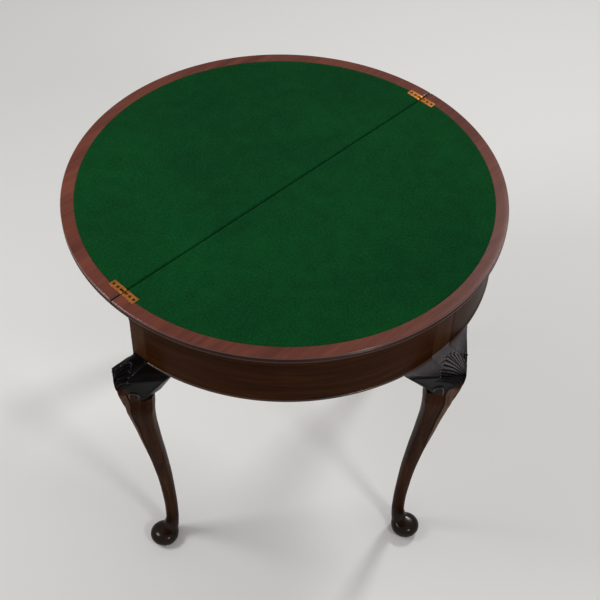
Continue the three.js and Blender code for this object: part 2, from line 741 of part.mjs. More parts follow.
// Legs. The corner legs stand back from the fold, and their one ear is towards the front.
const fixedLeg = { bowed: true, top: topRailBottom - glueLine };
const cornerLeg = {
  ...fixedLeg, postWidth: cornerPostWidth, earReach: cornerEarSpread, away: cornerPostCentre,
};
const legs = [
  { ...fixedLeg, name: "front", turn: Math.PI, away: 0, offset: 0, postWidth: frontPostWidth,
    ears: [-1, 1], earReach: earSpread },
  { ...cornerLeg, name: "left", turn: Math.PI / 2, offset: -cornerPostCentre, ears: [-1] },
  { ...cornerLeg, name: "right", turn: -Math.PI / 2, offset: cornerPostCentre, ears: [1] },
];
legs.forEach((leg) => {
  const group = new THREE.Group();
  group.rotation.z = leg.turn;
  group.position.y = -leg.away;
  group.add(piece(leg.name + "_leg", cabrioleLeg(leg), darkMahogany));
  leg.ears.forEach((side) => {
    const hand = leg.ears.length > 1 ? (side > 0 ? "_left" : "_right") : "";
    group.add(piece(leg.name + hand + "_ear", ear(leg, side), kneeBlack));
  });
  table.add(group);
});

// Back rail, the fixed fly rail screwed to it, and the fly rail standing out with its leg
table.add(piece("back_rail", backRail(), pine));
const fixedFly = cutForFlyScrews(
  knuckledBoard(fixedFlyLength, true, 0).translate([flyAxisAcross, -flyAxisBack, 0]),
);
table.add(piece("fixed_fly_rail", fixedFly, pine));
flyScrewShares.forEach((place, i) => {
  table.add(piece("fly_screw_" + (i + 1), placedFlyScrew(woodScrew(flyScrew), place), steel));
});

const gate = new THREE.Group();
gate.position.set(flyAxisAcross, -flyAxisBack, 0);
const flyBoard = knuckledBoard(flyReach - postDepth - glueLine, false, knucklePlay);
gate.add(piece("fly_rail", flyBoard.mirror([1, 0, 0]).rotate([0, 0, -90]), pine));
const flyLeg = { bowed: false, offset: 0, postWidth: flyPostWidth, ears: [], top: flyTop };
const flyLegPiece = piece("fly_leg", cabrioleLeg(flyLeg), darkMahogany);
flyLegPiece.position.set((flyThickness - flyPostWidth) / 2, flyReach - friezeRadius, 0);
gate.add(flyLegPiece);
gate.add(piece("knuckle_pin", rod(knucklePinRadius, flyBottom, flyTop), steel));
table.add(gate);

// The origin is on the floor under the middle of the whole table
const extent = new THREE.Box3().setFromObject(table, true);
table.position.y = -(extent.min.y + extent.max.y) / 2;

export default table;
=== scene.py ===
import json
import math
import bmesh
import bpy
import numpy as np
from mathutils import Matrix, Vector

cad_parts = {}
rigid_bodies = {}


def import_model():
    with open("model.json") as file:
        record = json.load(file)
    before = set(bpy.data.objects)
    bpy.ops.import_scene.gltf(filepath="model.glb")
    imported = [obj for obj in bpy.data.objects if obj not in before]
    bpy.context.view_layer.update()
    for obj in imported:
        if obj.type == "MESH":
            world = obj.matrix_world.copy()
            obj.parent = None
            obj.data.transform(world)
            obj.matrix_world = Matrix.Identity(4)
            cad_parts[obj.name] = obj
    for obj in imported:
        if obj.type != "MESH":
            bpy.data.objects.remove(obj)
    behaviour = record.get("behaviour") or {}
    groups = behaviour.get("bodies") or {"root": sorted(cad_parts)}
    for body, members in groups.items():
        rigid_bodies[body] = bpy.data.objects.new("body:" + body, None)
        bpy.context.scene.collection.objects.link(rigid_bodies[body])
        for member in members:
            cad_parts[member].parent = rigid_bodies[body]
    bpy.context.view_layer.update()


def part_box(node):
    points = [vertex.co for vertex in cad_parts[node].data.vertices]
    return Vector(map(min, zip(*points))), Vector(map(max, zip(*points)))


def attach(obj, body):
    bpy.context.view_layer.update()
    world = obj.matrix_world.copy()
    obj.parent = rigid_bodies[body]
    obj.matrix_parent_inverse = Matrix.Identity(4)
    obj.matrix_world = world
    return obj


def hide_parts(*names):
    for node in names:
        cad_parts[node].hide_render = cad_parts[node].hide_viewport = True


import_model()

# The studio: a pale plain floor in a bright room, with a window's light from beyond the table's
# right-hand side, where the carving takes its long highlights from, and weaker lamps behind it
# and in front.


def new_object(name, data):
    """A mesh, a lamp or a camera put into the scene."""
    thing = bpy.data.objects.new(name, data)
    bpy.context.collection.objects.link(thing)
    return thing


ground = bpy.data.meshes.new("floor")
corners = [(-6, -6, -0.0005), (6, -6, -0.0005), (6, 6, -0.0005), (-6, 6, -0.0005)]
ground.from_pydata(corners, [], [(0, 1, 2, 3)])
floor = new_object("floor", ground)


class Value:
    """Something that a tree of nodes works out: a number, a colour or a shape."""

    def __init__(self, nodes, socket):
        self.nodes = nodes
        self.socket = socket

    def maths(self, operation, first, second=0.0):
        return self.nodes.add("ShaderNodeMath", {"operation": operation}, {0: first, 1: second})

    def __add__(self, other):
        return self.maths("ADD", self, other)

    __radd__ = __add__

    def __sub__(self, other):
        return self.maths("SUBTRACT", self, other)

    def __rsub__(self, other):
        return self.maths("SUBTRACT", other, self)

    def __mul__(self, other):
        return self.maths("MULTIPLY", self, other)

    def __abs__(self):
        return self.maths("ABSOLUTE", self)

    def or_more(self, other):
        return self.maths("MAXIMUM", self, other)

    def clamped(self, low, high):
        """0 below low, 1 above high, and smooth between them."""
        values = {"Value": self, "From Min": low, "From Max": high}
        return self.nodes.add("ShaderNodeMapRange", {"interpolation_type": "SMOOTHSTEP"}, values)


class Nodes:
    """A tree of nodes that is built one node at a time."""

    def set(self, node, values):
        """Sets a node's inputs, or links them to what other nodes work out."""
        for key, value in values.items():
            for item in value if isinstance(value, list) else [value]:
                if isinstance(item, Value):
                    self.tree.links.new(item.socket, node.inputs[key])
                else:
                    node.inputs[key].default_value = item

    def add(self, kind, settings=None, values=None, output=0):
        """Adds a node, and returns what one of its outputs gives."""
        node = self.tree.nodes.new(kind)
        for key, value in (settings or {}).items():
            setattr(node, key, value)
        self.set(node, values or {})
        return Value(self, node.outputs[output])


class Finish(Nodes):
    """A surface finish, built node by node on one Principled shader."""

    def __init__(self, name, constants):
        self.material = bpy.data.materials.new(name)
        self.material.use_nodes = True
        self.tree = self.material.node_tree
        self.shader = self.tree.nodes["Principled BSDF"]
        self.set(self.shader, constants)

    def noise(self, stretch, detail, rough, distortion=0.0, attribute=None):
        """Noise over the piece's own coordinates in metres, or over an attribute's."""
        if attribute:
            place = self.add("ShaderNodeAttribute", {"attribute_name": attribute}, output="Vector")
        else:
            place = self.add("ShaderNodeTexCoord", output="Object")
        place = self.add("ShaderNodeMapping", values={"Vector": place, "Scale": stretch})
        values = {"Scale": 1.0, "Detail": detail, "Roughness": rough, "Distortion": distortion}
        return self.add("ShaderNodeTexNoise", values={"Vector": place, **values})

    def figure(self, stretch, detail, rough, distortion=0.0):
        """Noise along, across and through the wood's grain."""
        return self.noise(stretch, detail, rough, distortion, "grain")

    def place(self, axis):
        """Each point's place along one axis of the piece's own coordinates."""
        whole = self.add("ShaderNodeTexCoord", output="Object")
        return self.add("ShaderNodeSeparateXYZ", values={"Vector": whole}, output=axis)

    def mixed(self, share, first, second):
        values = {"Factor": share, 6: first, 7: second}
        return self.add("ShaderNodeMix", {"data_type": "RGBA"}, values, output=2)

    def tinted(self, stops, share):
        """A colour that runs through stops, each a share with its colour."""
        colour = self.add("ShaderNodeValToRGB", values={"Fac": share})
        ramp = colour.socket.node.color_ramp
        while len(ramp.elements) < len(stops):
            ramp.elements.new(1)
        for element, (place, tone) in zip(ramp.elements, stops):
            element.position = place
            element.color = tone
        return colour

    def bumped(self, height, distance, strength):
        values = {"Height": height, "Distance": distance, "Strength": strength}
        self.set(self.shader, {"Normal": self.add("ShaderNodeBump", values=values)})


pale = Finish("pale_floor", {"Base Color": (0.80, 0.79, 0.77, 1), "Roughness": 0.9})
ground.materials.append(pale.material)

world = bpy.data.worlds.new("studio")
bpy.context.scene.world = world
world.use_nodes = True
room = world.node_tree.nodes["Background"]
room.inputs["Strength"].default_value = 0.42
room.inputs["Color"].default_value = (1, 1, 1, 1)


def lamp(name, towards, distance, size, watts):
    """A soft square lamp that faces the middle of the table."""
    light = bpy.data.lights.new(name, "AREA")
    light.energy = watts
    light.size = size
    holder = new_object(name, light)
    way = Vector(towards).normalized()
    holder.location = Vector((0, 0, 0.5)) + way * distance
    holder.rotation_euler = way.to_track_quat("Z", "Y").to_euler()


lamp("window_light", (0.70, 0.06, 0.71), 3.2, 0.5, 34)
lamp("back_light", (-0.6, 0.42, 0.62), 1.9, 0.6, 15)
lamp("front_light", (-0.12, -0.8, 0.6), 3.4, 0.5, 20)

# The camera stands where the photograph was taken from, above the front left side of the table
# and looking steeply down, with the photograph's slight roll. Its place is given from the middle
# of the fold.
fold_y = 0.00575
camera = bpy.data.cameras.new("camera")
camera.sensor_width = 36
camera.lens = 69.39
viewer = new_object("camera", camera)
forward = Vector((0.4922, 0.4629, -0.7372)).normalized()
level = Vector((0.6851, -0.7285, 0)).normalized()
upward = level.cross(forward)
roll = math.radians(2.229)
right = level * math.cos(roll) + upward * math.sin(roll)
up = upward * math.cos(roll) - level * math.sin(roll)
turn = Matrix((right, up, -forward)).transposed()
viewer.matrix_world = Matrix.Translation((-1.124, -1.1039 + fold_y, 2.1451)) @ turn.to_4x4()
bpy.context.scene.camera = viewer
bpy.context.scene.view_settings.view_transform = "Standard"

# The two leaves of the top: solid mahogany half rounds, french polished, with a sunk field for
# the cloth. The moulded edge is run as one profile: an arris, a quirk and a large bead.
top_radius = 0.406
top_height = 0.731
leaf_thickness = 0.015
cloth_radius = 0.382
cloth_sink = 0.001
fold_gap = 0.001
pin_setback = 0.0042
pin_depth = 0.0044
corner_radius = 0.00455
cloth_corner = 0.00338
hinge_across = 0.378
plate_length = 0.031
plate_width = 0.014
plate_thickness = 0.0026
lug_length = 0.0086
lug_depth = 0.0082
fit = 0.0003
overcut = 0.002


def paint(red, green, blue):
    """A colour as it is seen, from 0 to 255, for a shader."""
    shown = [value / 255 for value in (red, green, blue)]
    light = [v / 12.92 if v <= 0.04045 else ((v + 0.055) / 1.055) ** 2.4 for v in shown]
    return (*light, 1.0)


def new_piece(name, mesh, body, *replaced):
    """A mesh as a piece that stands for CAD nodes and rides on a body."""
    piece = new_object(name, mesh)
    if replaced:
        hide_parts(*replaced)
    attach(piece, body)
    return piece


def store(mesh, name, values):
    """Keeps a number or a vector at each point of a mesh."""
    values = np.asarray(values, dtype=float)
    kind, field = ("FLOAT_VECTOR", "vector") if values.ndim == 2 else ("FLOAT", "value")
    mesh.attributes.new(name, kind, "POINT").data.foreach_set(field, values.ravel())


def grain(mesh, along):
    """Keeps each point's place along, across and through the wood."""
    points = np.empty(len(mesh.vertices) * 3)
    mesh.vertices.foreach_get("co", points)
    store(mesh, "grain", along(points.reshape(-1, 3)))


def crosswise(p):
    """Grain that runs along the fold."""
    return p


def arc(centre, radius, start, end, steps):
    angles = np.radians(np.linspace(start, end, steps + 1))
    return [(centre[0] + radius * math.cos(a), centre[1] + radius * math.sin(a)) for a in angles]


def as_mesh(shaped, name):
    """An edited shape as a mesh, with its faces turned outwards."""
    bmesh.ops.recalc_face_normals(shaped, faces=shaped.faces[:])
    mesh = bpy.data.meshes.new(name)
    shaped.to_mesh(mesh)
    shaped.free()
    return mesh


def skin(name, rows):
    """A closed mesh over rows of points that run anticlockwise, with its ends closed."""
    count, around = rows.shape[:2]
    i, j = np.meshgrid(np.arange(count - 1), np.arange(around), indexing="ij")
    low = i * around
    high = low + around
    ahead = (j + 1) % around
    faces = np.stack([low + j, low + ahead, high + ahead, high + j], -1).reshape(-1, 4).tolist()
    faces.append(list(range(around))[::-1])
    faces.append(list(range((count - 1) * around, count * around)))
    mesh = bpy.data.meshes.new(name)
    mesh.from_pydata(rows.reshape(-1, 3).tolist(), [], faces)
    return mesh


def prism(name, outline, low, high):
    """An outline across the fold, drawn out along the fold from one place to another."""
    return skin(name, np.array([[(x, y, top_height + z) for y, z in outline] for x in (low, high)]))


def edges_of(items):
    return [item for item in items if isinstance(item, bmesh.types.BMEdge)]


def half_turned(profile, steps, front):
    """A profile turned half round and cut off at a line in front, with the edges of the cut."""
    turned = bmesh.new()
    ring = [turned.verts.new((radius, 0, height)) for radius, height in profile]
    edges = [turned.edges.new(pair) for pair in zip(ring, ring[1:])]
    bmesh.ops.spin(
        turned, geom=ring + edges, cent=(0, 0, 0), axis=(0, 0, 1), angle=math.pi, steps=steps,
    )
    bmesh.ops.remove_doubles(turned, verts=turned.verts, dist=1e-6)
    cut = bmesh.ops.bisect_plane(
        turned, geom=turned.verts[:] + turned.edges[:] + turned.faces[:],
        plane_co=(0, front, 0), plane_no=(0, 1, 0), clear_inner=True,
    )
    return turned, edges_of(cut["geom_cut"])


def leaf():
    """The folding leaf, behind the fold, as a closed mesh."""
    under = top_height - leaf_thickness
    field = top_height - cloth_sink
    # Each is an arc: its centre in from the rim and down from the top, radius, ends and steps.
    mouldings = {
        "bead": (0.0046, leaf_thickness - 0.0046, 0.0046, -90, 60, 14),
        "quirk": (0.0024, 0.0047, 0.0010, 200, 110, 3),
        "fillet": (0.0007, 0.0031, 0.0007, -80, 10, 3),
        "arris": (0.0019, 0.0019, 0.0019, 5, 90, 7),
    }
    profile = [(0.0, under), (0.2, under)]
    for inset, drop, radius, start, end, steps in mouldings.values():
        profile += arc((top_radius - inset, top_height - drop), radius, start, end, steps)
    profile += [(0.396, top_height), (cloth_radius + 0.0004, top_height)]
    profile += [(cloth_radius, top_height - 0.0004), (cloth_radius, field), (0.2, field), (0.0, field)]
    turned, rim = half_turned(profile, 144, fold_gap / 2)
    bmesh.ops.triangle_fill(turned, edges=rim, use_beauty=True)
    return as_mesh(turned, "leaf")


def joint_cut(radius, reach):
    """What is planed off the leaf's top corner along the joint, to a radius about the pins."""
    pin = fold_gap / 2 + pin_setback
    outline = [(-overcut, -pin_depth)]
    outline += arc((pin, -pin_depth), radius, 180, 90, 16)
    outline += [(pin, overcut), (-overcut, overcut)]
    return prism("joint_cut", outline, -reach, reach)


def mortise(x):
    """The two steps that a hinge plate and its lug are let into, as one closed mesh each."""
    half = plate_width / 2 + fit
    steps = [(plate_length + fit, plate_thickness + fit), (lug_length + 2 * fit, lug_depth + fit)]
    meshes = []
    for length, depth in steps:
        back = fold_gap / 2 + length
        outline = [(-overcut, -depth), (back, -depth), (back, overcut), (-overcut, overcut)]
        meshes.append(prism("mortise", outline, x - half, x + half))
    return meshes


def worked(stock, *tools):
    """The plain mesh that an object's modifiers make of it, in place of the object and its tools."""
    depsgraph = bpy.context.evaluated_depsgraph_get()
    mesh = bpy.data.meshes.new_from_object(stock.evaluated_get(depsgraph))
    for item in (stock, *tools):
        bpy.data.objects.remove(item)
    return mesh


def carved_out(mesh, cutters):
    """A mesh with the shapes of other meshes taken out of it."""
    stock = new_object("stock", mesh)
    tools = [new_object("tool", cutter) for cutter in cutters]
    for tool in tools:
        cut = stock.modifiers.new("cut", "BOOLEAN")
        cut.operation = "DIFFERENCE"
        cut.solver = "EXACT"
        cut.object = tool
    return worked(stock, *tools)


def smooth(mesh, degrees):
    """Smooth shading, with creases at the edges that turn more than some degrees."""
    shaped = bmesh.new()
    shaped.from_mesh(mesh)
    limit = math.radians(degrees)
    for face in shaped.faces:
        face.smooth = True
    for edge in shaped.edges:
        edge.smooth = len(edge.link_faces) == 2 and edge.calc_face_angle(math.pi) < limit
    shaped.to_mesh(mesh)
    shaped.free()


def on_side(mesh, side, crease, finish):
    """A finished copy on one side of the fold, where side -1 is in front of it."""
    half = mesh.copy()
    if side < 0:
        half.transform(Matrix.Scale(-1, 4, (0, 1, 0)))
        half.flip_normals()
    half.transform(Matrix.Translation((0, fold_y, 0)))
    smooth(half, crease)
    half.materials.clear()
    half.materials.append(finish)
    return half


def mahogany(name, tones, gloss, polish, streak=1.0, edge=None):
    """Polished mahogany: ribbon figure, fine fibre and short dark pores along the grain. The edge,
    where there is one, says how much painted shade and shine there is on top of that."""
    wood = Finish(name, {"Coat Roughness": 0.16, "Specular IOR Level": 0.2 * polish})
    drift = wood.figure((3.0, 9.0, 9.0), 2.0, 0.5, 0.4)
    ribbon = wood.figure((5.0, 60.0, 60.0), 4.0, 0.55, 1.1)
    fibre = wood.figure((22.0, 950.0, 950.0), 5.0, 0.62)
    pore = wood.figure((190.0, 2600.0, 2600.0), 2.0, 0.5).clamped(0.6, 0.72)
    smear = wood.noise((14.0, 14.0, 14.0), 4.0, 0.6, 0.6)
    tone = drift * 0.35 + ribbon * (0.42 * streak) + fibre * (0.30 * streak) + (0.325 - 0.36 * streak)
    colour = wood.mixed(pore * 0.45, wood.tinted(tones, tone), tones[0][1])
    shine = (0.16 - smear * 0.12) * polish
    if edge:
        painted_shade, rubbed = edge(wood)
        # Painted shade: the moulded edge and the fold are mixed towards a dark brown.
        colour = wood.mixed(painted_shade, colour, paint(24, 12, 9))
        shine = shine + rubbed
    wood.set(wood.shader, {
        "Base Color": colour,
        "Roughness": gloss + smear * 0.14 + pore * 0.12 + fibre * 0.05 - 0.09,
        "Coat Weight": shine,
    })
    wood.bumped(fibre * 0.35 - pore * 0.6, 0.00012, 0.5)
    return wood.material


def leaf_edge(wood):
    """Painted shade on the moulded edge and in the fold, and the shine of the rubbed arris."""
    up = wood.place("Z")
    under = top_height - leaf_thickness
    moulded = up.clamped(under, under + 0.0012) - up.clamped(top_height - 0.0030, top_height - 0.0012)
    folded = 1 - abs(wood.place("Y") - fold_y).clamped(0.0014, 0.0026)
    painted_shade = (moulded * 0.72).or_more(folded * 0.9)
    above = up.clamped(top_height - 0.0045, top_height - 0.0030)
    arris = above - up.clamped(top_height - 0.0003, top_height)
    return painted_shade, arris * 0.75


top_tones = [
    (0.20, paint(48, 20, 14)),
    (0.42, paint(80, 39, 29)),
    (0.60, paint(106, 55, 41)),
    (0.82, paint(134, 76, 58)),
]
top_wood = mahogany("top_mahogany", top_tones, 0.34, 0.8, 0.8, leaf_edge)
mortises = mortise(-hinge_across) + mortise(hinge_across)
joint_cuts = [joint_cut(corner_radius, top_radius + 0.004), joint_cut(cloth_corner, cloth_radius)]
cut_leaf = carved_out(leaf(), joint_cuts + mortises)
halves = ((-1, "fixed", "frame"), (1, "folding", "flap"))
for side, word, body in halves:
    board = on_side(cut_leaf, side, 28, top_wood)
    grain(board, crosswise)
    new_piece(word + "_leaf_polished", board, body, word + "_leaf")

# Green wool baize, cut to the half round and glued down in the sunk field of each leaf. It is
# turned down over the rounded corner at the fold, and cut out round the hinge plates.
cloth_thickness = 0.0008
cloth_turn = 78


def cloth():
    """A half round of cloth behind the fold, turned down over the rounded corner."""
    radius = cloth_radius - fit
    low = top_height - cloth_sink
    high = low + cloth_thickness
    pin = fold_gap / 2 + pin_setback
    profile = [(0, low), (radius, low), (radius, high - 0.0003), (radius - 0.0004, high)]
    profile += [(r, high) for r in np.linspace(radius - 0.004, 0, 72)]
    turned, rim = half_turned(profile, 160, pin)
    rolled = bmesh.ops.spin(
        turned, geom=rim, cent=(0, pin, top_height - pin_depth), axis=(1, 0, 0),
        angle=math.radians(cloth_turn), steps=9,
    )
    bmesh.ops.triangle_fill(turned, edges=edges_of(rolled["geom_last"]), use_beauty=True)
    return as_mesh(turned, "cloth")


baize = Finish("green_baize", {
    "Sheen Weight": 0.04,
    "Sheen Roughness": 0.5,
    "Sheen Tint": (0.35, 0.75, 0.42, 1),
    "Specular IOR Level": 0.04,
    "Roughness": 0.95,
})
nap = baize.noise((1500, 1500, 1500), 4.0, 0.7)
felt = baize.noise((260, 260, 260), 5.0, 0.72)
mottle = baize.noise((34, 34, 34), 5.0, 0.6, 0.3)
rubbed = baize.noise((3.2, 3.2, 3.2), 3.0, 0.5, 0.5)
shade = felt * 0.46 + mottle * 0.13 + rubbed * 0.18 + nap * 0.30 - 0.035
baize_tones = [
    (0.30, paint(1, 28, 11)),
    (0.45, paint(4, 49, 20)),
    (0.58, paint(9, 68, 29)),
    (0.75, paint(24, 96, 47)),
]
baize.set(baize.shader, {"Base Color": baize.tinted(baize_tones, shade)})
baize.bumped(felt * 0.6 + nap * 0.4, 0.0005, 0.7)
cut_cloth = carved_out(cloth(), mortises)
for side, word, body in halves:
    mesh = on_side(cut_cloth, side, 40, baize.material)
    field = new_piece(word + "_baize_cloth", mesh, body, word + "_baize")

# Link hinges: a brass plate let into each leaf, and a round-ended brass link between two steel
# pins, held by slotted brass screws. The plates are worn bright, and the links and the screws
# have gone dark.


def dressed(name, body, soft, finish, along, crease=30):
    """A CAD piece as one skin with softly rounded edges, finished and put on its body."""
    shaped = bmesh.new()
    shaped.from_mesh(bpy.data.objects[name].data)
    bmesh.ops.remove_doubles(shaped, verts=shaped.verts, dist=2e-6)
    bmesh.ops.dissolve_limit(
        shaped, angle_limit=math.radians(0.6), verts=shaped.verts, edges=shaped.edges,
    )
    mesh = as_mesh(shaped, name)
    smooth(mesh, crease)
    grain(mesh, along)
    mesh.materials.append(finish)
    piece = new_piece(name + "_dressed", mesh, body, name)
    bevel = piece.modifiers.new("soft edges", "BEVEL")
    bevel.width = soft
    bevel.segments = 2
    bevel.limit_method = "ANGLE"
    bevel.angle_limit = math.radians(crease)
    bevel.harden_normals = True
    return piece


brass = Finish("worn_brass", {"Metallic": 1.0})
wear_and_painted_highlight = brass.noise((420, 420, 420), 5.0, 0.62, 0.3)
stain = brass.noise((95, 95, 95), 4.0, 0.6, 0.8)
scratch = brass.noise((240, 3600, 900), 2.0, 0.5)
brass_tones = [
    (0.25, paint(92, 52, 24)),
    (0.42, paint(168, 102, 46)),
    (0.58, paint(206, 134, 66)),
    (0.78, paint(228, 168, 96)),
]
brass.set(brass.shader, {
    "Base Color": brass.tinted(brass_tones, wear_and_painted_highlight * 0.45 + stain * 0.55),
    "Roughness": 0.52 - stain * 0.3 + scratch * 0.12,
})
brass.bumped(scratch * 0.5 + wear_and_painted_highlight * 0.5, 0.00006, 0.6)


def dull_metal(name, fineness, tones, roughness, strength):
    """Metal that has gone dull in small spots."""
    metal = Finish(name, {"Metallic": 1.0})
    spots = metal.noise((fineness, fineness, fineness), 4.0, 0.6)
    colour = metal.tinted(tones, spots)
    metal.set(metal.shader, {"Base Color": colour, "Roughness": roughness - spots * 0.25})
    metal.bumped(spots, 0.00005, strength)
    return metal.material


steel_tones = [(0.3, paint(70, 60, 52)), (0.5, paint(112, 104, 96)), (0.7, paint(140, 134, 126))]
steel = dull_metal("dull_steel", 300, steel_tones, 0.5, 0.5)
dark_tones = [(0.3, paint(40, 26, 14)), (0.55, paint(96, 62, 32)), (0.8, paint(150, 102, 56))]
dark_brass = dull_metal("dark_brass", 700, dark_tones, 0.62, 0.6)


class Recipe(Nodes):
    """A shape made of Geometry Nodes, whose sizes are the named inputs of its tree."""

    def __init__(self, name, sizes):
        self.tree = bpy.data.node_groups.new(name, "GeometryNodeTree")
        face = self.tree.interface
        face.new_socket("Geometry", in_out="INPUT", socket_type="NodeSocketGeometry")
        for size in sizes:
            face.new_socket(size, in_out="INPUT", socket_type="NodeSocketFloat")
        face.new_socket("Geometry", in_out="OUTPUT", socket_type="NodeSocketGeometry")
        self.start = self.tree.nodes.new("NodeGroupInput")
        self.end = self.tree.nodes.new("NodeGroupOutput")
        inputs = [item for item in face.items_tree if item.in_out == "INPUT"]
        self.ids = {item.name: item.identifier for item in inputs}

    def given(self, name):
        return Value(self, self.start.outputs[name])

    def raised(self, shape, height):
        way = self.add("ShaderNodeCombineXYZ", values={"Z": height})
        return self.add("GeometryNodeTransform", values={"Geometry": shape, "Translation": way})

    def finished(self, shape, finish):
        """Ends the tree with plain geometry in one finish."""
        plain = self.add("GeometryNodeRealizeInstances", values={"Geometry": shape})
        painted = self.add("GeometryNodeSetMaterial", values={"Geometry": plain, "Material": finish})
        self.tree.links.new(painted.socket, self.end.inputs[0])

    def mesh(self, name, points, sizes):
        """The plain mesh that the tree makes from a mesh of points."""
        holder = new_object(name, points)
        work = holder.modifiers.new("work", "NODES")
        work.node_group = self.tree
        for key, value in sizes.items():
            work[self.ids[key]] = value
        return worked(holder)


def marks(name, places, **layers):
    """A mesh of loose points with a value or a vector at each."""
    mesh = bpy.data.meshes.new(name)
    mesh.from_pydata([tuple(place) for place in places], [], [])
    for key, values in layers.items():
        store(mesh, key, values)
    return mesh


def slotted_screw(finish):
    """Countersunk wood screw with a slot, set on each point and turned there."""
    names = ["Head Radius", "Head Depth", "Shank Radius", "Length", "Slot"]
    work = Recipe("slotted_screw", names)
    head_radius, head_depth, shank_radius, length, slot = [work.given(name) for name in names]
    head = work.add("GeometryNodeMeshCone", values={
        "Vertices": 28,
        "Radius Top": head_radius,
        "Radius Bottom": shank_radius,
        "Depth": head_depth,
    })
    shank = work.add("GeometryNodeMeshCylinder", values={
        "Vertices": 20,
        "Radius": shank_radius * 0.96,
        "Depth": length - head_depth * 0.5,
    })
    head = work.raised(head, head_depth * -1.0)
    shank = work.raised(shank, head_depth * -0.25 - length * 0.5)
    size = work.add("ShaderNodeCombineXYZ", values={"X": head_radius * 3.0, "Y": slot, "Z": slot * 1.6})
    block = work.add("GeometryNodeMeshCube", values={"Size": size})
    union = {"operation": "UNION", "solver": "EXACT"}
    solid = work.add("GeometryNodeMeshBoolean", union, {"Mesh 2": [head, shank]})
    difference = {"operation": "DIFFERENCE", "solver": "EXACT"}
    screw = work.add("GeometryNodeMeshBoolean", difference, {"Mesh 1": solid, "Mesh 2": block})
    tilt = work.add("GeometryNodeInputNamedAttribute", {"data_type": "FLOAT_VECTOR"}, {"Name": "tilt"})
    many = work.add("GeometryNodeInstanceOnPoints", values={
        "Points": work.given("Geometry"),
        "Instance": screw,
        "Rotation": tilt,
    })
    work.finished(many, finish)
    return work


def screw_set(name, work, body, depth, slot_width, nodes, face, tilts):
    """Screws in place of CAD ones, each with its head at one face of its node's box."""
    axis = {"top": 2, "bottom": 2, "back": 1}[face]
    low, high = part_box(nodes[0])
    sizes = {
        "Head Radius": (high.x - low.x) / 2,
        "Head Depth": depth,
        "Shank Radius": (high.x - low.x) / 4,
        "Length": high[axis] - low[axis],
        "Slot": slot_width,
    }
    places = []
    for node in nodes:
        low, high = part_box(node)
        place = (low + high) / 2
        place[axis] = low[axis] if face == "bottom" else high[axis]
        places.append(place)
    mesh = work.mesh(name, marks(name, places, tilt=tilts), sizes)
    smooth(mesh, 40)
    grain(mesh, crosswise)
    return new_piece(name, mesh, body, *nodes)


brass_screw = slotted_screw(dark_brass)
screw_turns = {"fixed": (0.3, 1.7, 2.6, 0.9), "folding": (2.2, 0.5, 1.3, 2.9)}
for side, word, body in halves:
    names = [end + "_hinge_" + word + "_screw_" + number for end in ("left", "right") for number in "12"]
    tilts = [(0, 0, turn) for turn in screw_turns[word]]
    screw_set(word + "_hinge_screws", brass_screw, body, 0.0014, 0.0008, names, "top", tilts)
for end in ("left", "right"):
    dressed(end + "_hinge_link", "hinge_links", 0.0003, dark_brass, crosswise, 40)
    for side, word, body in halves:
        hinge = end + "_hinge_" + word
        dressed(hinge + "_plate", body, 0.0002, brass.material, crosswise, 40)
        dressed(hinge + "_pin", body, 0.0002, steel, crosswise, 40)

# The bowed frieze: two curved rails veneered in dark mahogany between the leg posts, under a
# continuous top rail, with a thin rounded bead planted along the lower edge.
frieze_bottom = 0.597
frieze_radius = 0.390
bead_bow = 0.389
bead_radius = 0.0025
bead_sweep = 78.1


def round_bow(p):
    """Grain that runs along the curve of the bow."""
    across = p[:, 1] - fold_y
    along = np.arctan2(p[:, 0], -across) * frieze_radius
    return np.stack([along, p[:, 2], np.hypot(p[:, 0], across)], 1)


frame_tones = [
    (0.20, paint(24, 10, 2)),
    (0.42, paint(42, 20, 6)),
    (0.60, paint(62, 33, 13)),
    (0.82, paint(92, 56, 27)),
]
frame_wood = mahogany("frame_mahogany", frame_tones, 0.36, 0.09)
for name in ("frieze_top_rail", "left_frieze_rail", "right_frieze_rail"):
    dressed(name, "frame", 0.0002, frame_wood, round_bow)

half_round = Recipe("half_round_bead", ["Bow Radius", "Bead Radius", "Start", "Sweep"])
path = half_round.add("GeometryNodeCurveArc", {"mode": "RADIUS"}, {
    "Resolution": 120,
    "Radius": half_round.given("Bow Radius"),
    "Start Angle": half_round.given("Start"),
    "Sweep Angle": half_round.given("Sweep"),
})
section = half_round.add("GeometryNodeCurvePrimitiveCircle", {"mode": "RADIUS"}, {
    "Resolution": 20,
    "Radius": half_round.given("Bead Radius"),
})
rod = half_round.add("GeometryNodeCurveToMesh", values={
    "Curve": path,
    "Profile Curve": section,
    "Fill Caps": True,
})
half_round.finished(rod, mahogany("bead_mahogany", frame_tones, 0.30, 2.4))
for hand, start in (("left", 188.32), ("right", 273.58)):
    name = hand + "_frieze_bead"
    mesh = half_round.mesh(name, marks(name, [(0, 0, 0)]), {
        "Bow Radius": bead_bow,
        "Bead Radius": bead_radius,
        "Start": math.radians(start),
        "Sweep": math.radians(bead_sweep),
    })
    mesh.transform(Matrix.Translation((0, fold_y, frieze_bottom + bead_radius)))
    smooth(mesh, 60)
    grain(mesh, round_bow)
    new_piece(name + "_planted", mesh, "frame", name)

